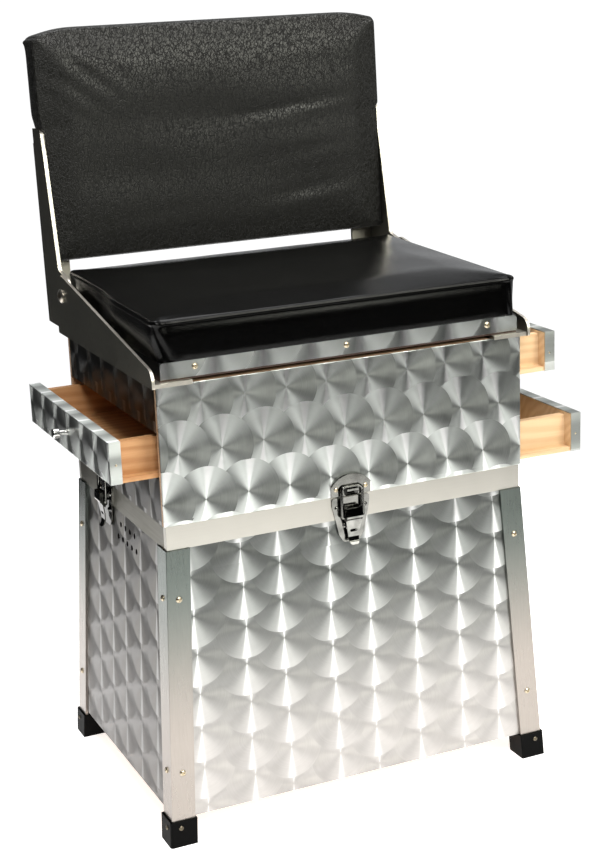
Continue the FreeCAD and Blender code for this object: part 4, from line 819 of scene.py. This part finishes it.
def make_floor():
    t = material("floor", Roughness=0.9, Specular_IOR_Level=0.2, Emission_Strength=0.74)
    place = t.xyz(*t.place())
    cloud = t.noise(place, 1.6, 2.0, 0.5)
    t.feed(t.shader.inputs["Base Color"], t.tint((0.93, 0.925, 0.92), 0.97 + cloud * 0.05))
    t.feed(t.shader.inputs["Emission Color"], (1.0, 0.99, 0.985, 1.0))
    shape = bmesh.new()
    bmesh.ops.create_circle(shape, cap_ends=True, segments=96, radius=1.2,
                            matrix=Matrix.Translation((0, -0.1, 0)))
    mesh = bpy.data.meshes.new("floor")
    shape.to_mesh(mesh)
    shape.free()
    mesh.materials.append(t.owner)
    floor = bpy.data.objects.new("floor", mesh)
    bpy.context.scene.collection.objects.link(floor)


def make_lights():
    aim = (0, 0, 0.42)
    area_light("key", (-0.6, -2.2, 2.4), aim, size=(1.2, 0.8), power=62, colour=(1.0, 0.985, 0.96))
    area_light("edge", (0.95, -1.4, 2.15), aim, size=(0.8, 0.3), power=18, colour=(1.0, 0.98, 0.93))
    area_light("face", (0.82, -1.9, 1.30), (0, 0.17, 0.78), size=(0.9, 0.6), power=20.0,
               colour=(1.0, 1.0, 0.88))
    area_light("top", (0.1, 0.3, 2.4), (0, 0, 0), size=(1.8, 1.6), power=42)


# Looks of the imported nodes


def spun_looks():
    """One spun look for each kind of sheet, with its discs placed from the sheets' corners; the looks
    differ in painted light: paler and pinker low on the bin, and darker copies (painted shade) on the
    bin's sides and the blank ends.
    """
    unit_low, unit_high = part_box("unit_front_panel")
    _, bin_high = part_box("bin_front_panel")
    left_low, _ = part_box("bin_left_panel")
    facing_low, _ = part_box("bottom_drawer_facing")
    middle = (unit_low.x + unit_high.x) / 2
    # painted light: the pink is a painted pale tone for the lower part of the bin's sheets
    green, painted_pale_pink, brown = (0.80, 0.84, 0.81), (0.97, 0.93, 0.90), (0.80, 0.76, 0.69)
    row_up = 0.0217  # of the lowest discs on the unit
    bin_row = bin_high.z - 0.012
    # painted light: the bin's sheets go from the painted pale pink low to their upper colour between
    # these heights
    tall = {"flips": (1, -1), "counts": (4, 1), "stagger": 0.5, "painted_fade_heights": (0.06, 0.28)}
    upper = spun_metal("spun_upper", (0, 2), first=(unit_low.x + 0.0007, unit_low.z + row_up),
                       middle=middle, colours=(green, green))
    lower = spun_metal("spun_lower", (0, 2), pitch=(0.098, 0.0200), first=(middle - 0.027, bin_row),
                       column_shake=0.010, highlight_lean=-0.5, middle=middle, colours=(painted_pale_pink, green),
                       plain=(0.47, 0.42), bow_highlight=(0.20, 0.58), flank_shade=(0.03, 0.28), **tall)
    # painted shade: the bin's side panels are a darker copy of the spun finish
    side = spun_metal("spun_side_shaded", (1, 2), pitch=(0.092, 0.0200), first=(left_low.y, bin_row),
                      column_shake=0.008, highlight_lean=0.0, middle=left_low.y, colours=(painted_pale_pink, brown),
                      plain=(0.20, 0.14), bow_highlight=(0.12, 0.20), flank_shade=(0.04, 0.07), **tall)
    # painted shade: the blank end panels are a much darker copy of the spun finish
    blank = spun_metal("spun_blank_shaded", (1, 2), first=(left_low.y, unit_low.z + row_up), highlight_lean=0.0,
                       colours=(brown, brown), plain=(0.10, 0.10), bow_highlight=(0.20, 0.20),
                       flank_shade=(0.06, 0.06))
    facing = spun_metal("spun_facing", (1, 2), first=(left_low.y, facing_low.z + 0.02), highlight_lean=0.0,
                        colours=(green, green), plain=(0.72, 0.72), bow_highlight=(0.50, 0.50),
                        flank_shade=(0.36, 0.36))
    strip = spun_metal("spun_strip", (0, 2), first=(unit_low.x + 0.011, unit_high.z + 0.04),
                       pitch=(0.0505, 0.2), counts=(1, 2), disc=0.045, highlight_lean=-0.6, middle=middle,
                       colours=(green, green), plain=(0.90, 0.90), flank_shade=(0.50, 0.50))
    return upper, lower, side, blank, facing, strip


def dress():
    """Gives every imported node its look, and returns the brass one."""
    upper, lower, side, blank, facing, strip = spun_looks()
    # painted light: the uprights fade from a paler colour low to grey higher up
    grey, painted_pale_low = (0.155, 0.178, 0.165), (0.345, 0.312, 0.285)
    # lit and shaded copies of one aluminium: the rims along the front and back are pale, the rims
    # along the sides are a dark painted-shade copy
    lit_rim_pale, shaded_rim_bronze = (0.46, 0.445, 0.405), (0.095, 0.090, 0.068)
    upright = brushed_metal("brushed_upright", 2, (painted_pale_low, grey), (0.10, 0.29), 0.30)
    lit_level_x = brushed_metal("brushed_level_x", 0, (lit_rim_pale, lit_rim_pale), rough=0.36, streak=0.05)
    shaded_level_y = brushed_metal("brushed_level_y", 1, (shaded_rim_bronze, shaded_rim_bronze), rough=0.34, streak=0.08)
    # painted highlight on the plates' edges and painted shade on their flat sides
    dull = plain_metal("dull_steel", (0.19, 0.185, 0.155), rough=0.40, stains_and_reflection_spots=0.12, scale=25.0,
                       dirt=0.15, edge=(0.62, 0.59, 0.52))
    # painted reflections: the strong spots and the bands on the chrome
    chrome = plain_metal("latch_chrome", (0.25, 0.25, 0.235), rough=0.10, stains_and_reflection_spots=1.1, reflection_bands=0.8)
    brass = plain_metal("screw_brass", (0.52, 0.45, 0.33), rough=0.28, stains_and_reflection_spots=0.15, scale=300.0,
                        dark_below=0.025)
    bolt = plain_metal("bolt_steel", (0.50, 0.46, 0.39), rough=0.3, stains_and_reflection_spots=0.12, scale=200.0)
    knob = plain_metal("knob_steel", (0.62, 0.62, 0.6), rough=0.22, stains_and_reflection_spots=0.08, scale=200.0)
    plastic = moulded_plastic("foot_plastic", (0.002, 0.002, 0.002))
    pine = wood("pine", 0, (0.72, 0.52, 0.31), (0.58, 0.37, 0.20))
    red_pine = wood("red_pine", 0, (0.56, 0.31, 0.14), (0.38, 0.17, 0.06), seed=0.3)
    board_low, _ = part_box("seat_board")
    board = covered_board("seat_board", (0.045, 0.020, 0.012), (0.004, 0.004, 0.004),
                          edge=board_low.z + 0.004)
    ply = plywood("plywood", (0.60, 0.42, 0.27), (0.36, 0.21, 0.12))
    looks = {
        "spun_aluminium": lower,
        "plain_aluminium": upright,
        "foot_plastic": plastic,
        "plywood": ply,
        "pine": pine,
        "knob_steel": knob,
        "dull_steel": dull,
        "latch_chrome": chrome,
        "screw_brass": brass,
        "bolt_steel": bolt,
        "black_vinyl": plastic,
    }
    special = {
        "unit_front_panel": upper,
        "unit_back_panel": upper,
        "bin_left_panel": side,
        "bin_right_panel": side,
        "left_blank_top": blank,
        "left_blank_bottom": blank,
        "right_blank_middle": blank,
        "bottom_drawer_facing": facing,
        "middle_drawer_facing": facing,
        "top_drawer_facing": facing,
        "seat_trim_strip": strip,
        "seat_board": board,
        "middle_drawer_box": red_pine,
        "rim_front": lit_level_x,
        "rim_back": lit_level_x,
        "rim_left": shaded_level_y,
        "rim_right": shaded_level_y,
    }
    for part in frame["record"]["subparts"]:
        name = part["node"]
        assign(frame["nodes"][name], special.get(name) or looks[part["material_slot"]])
    return brass


def assign(node, look):
    if not node.data.materials:
        node.data.materials.append(look)
    for slot in node.material_slots:
        slot.material = look


make_camera()
make_world()
make_floor()
make_lights()
brass = dress()
seat_vinyl = vinyl("seat_vinyl", (0.0004, 0.0004, 0.0004), rough=0.17, grain_scale=700.0,
                   grain_height=0.00002, crease_height=0.00002, specular=0.22)
back_vinyl = vinyl("back_vinyl", (0.0045, 0.0045, 0.0032), rough=0.33, grain_scale=330.0,
                   grain_height=0.00013, crease_height=0.00022, specular=0.55, creased=0.55)
seat_cushion(seat_vinyl)
backrest_cushion(back_vinyl)
nail_heads(brass)

bpy.context.scene.view_settings.view_transform = "Standard"
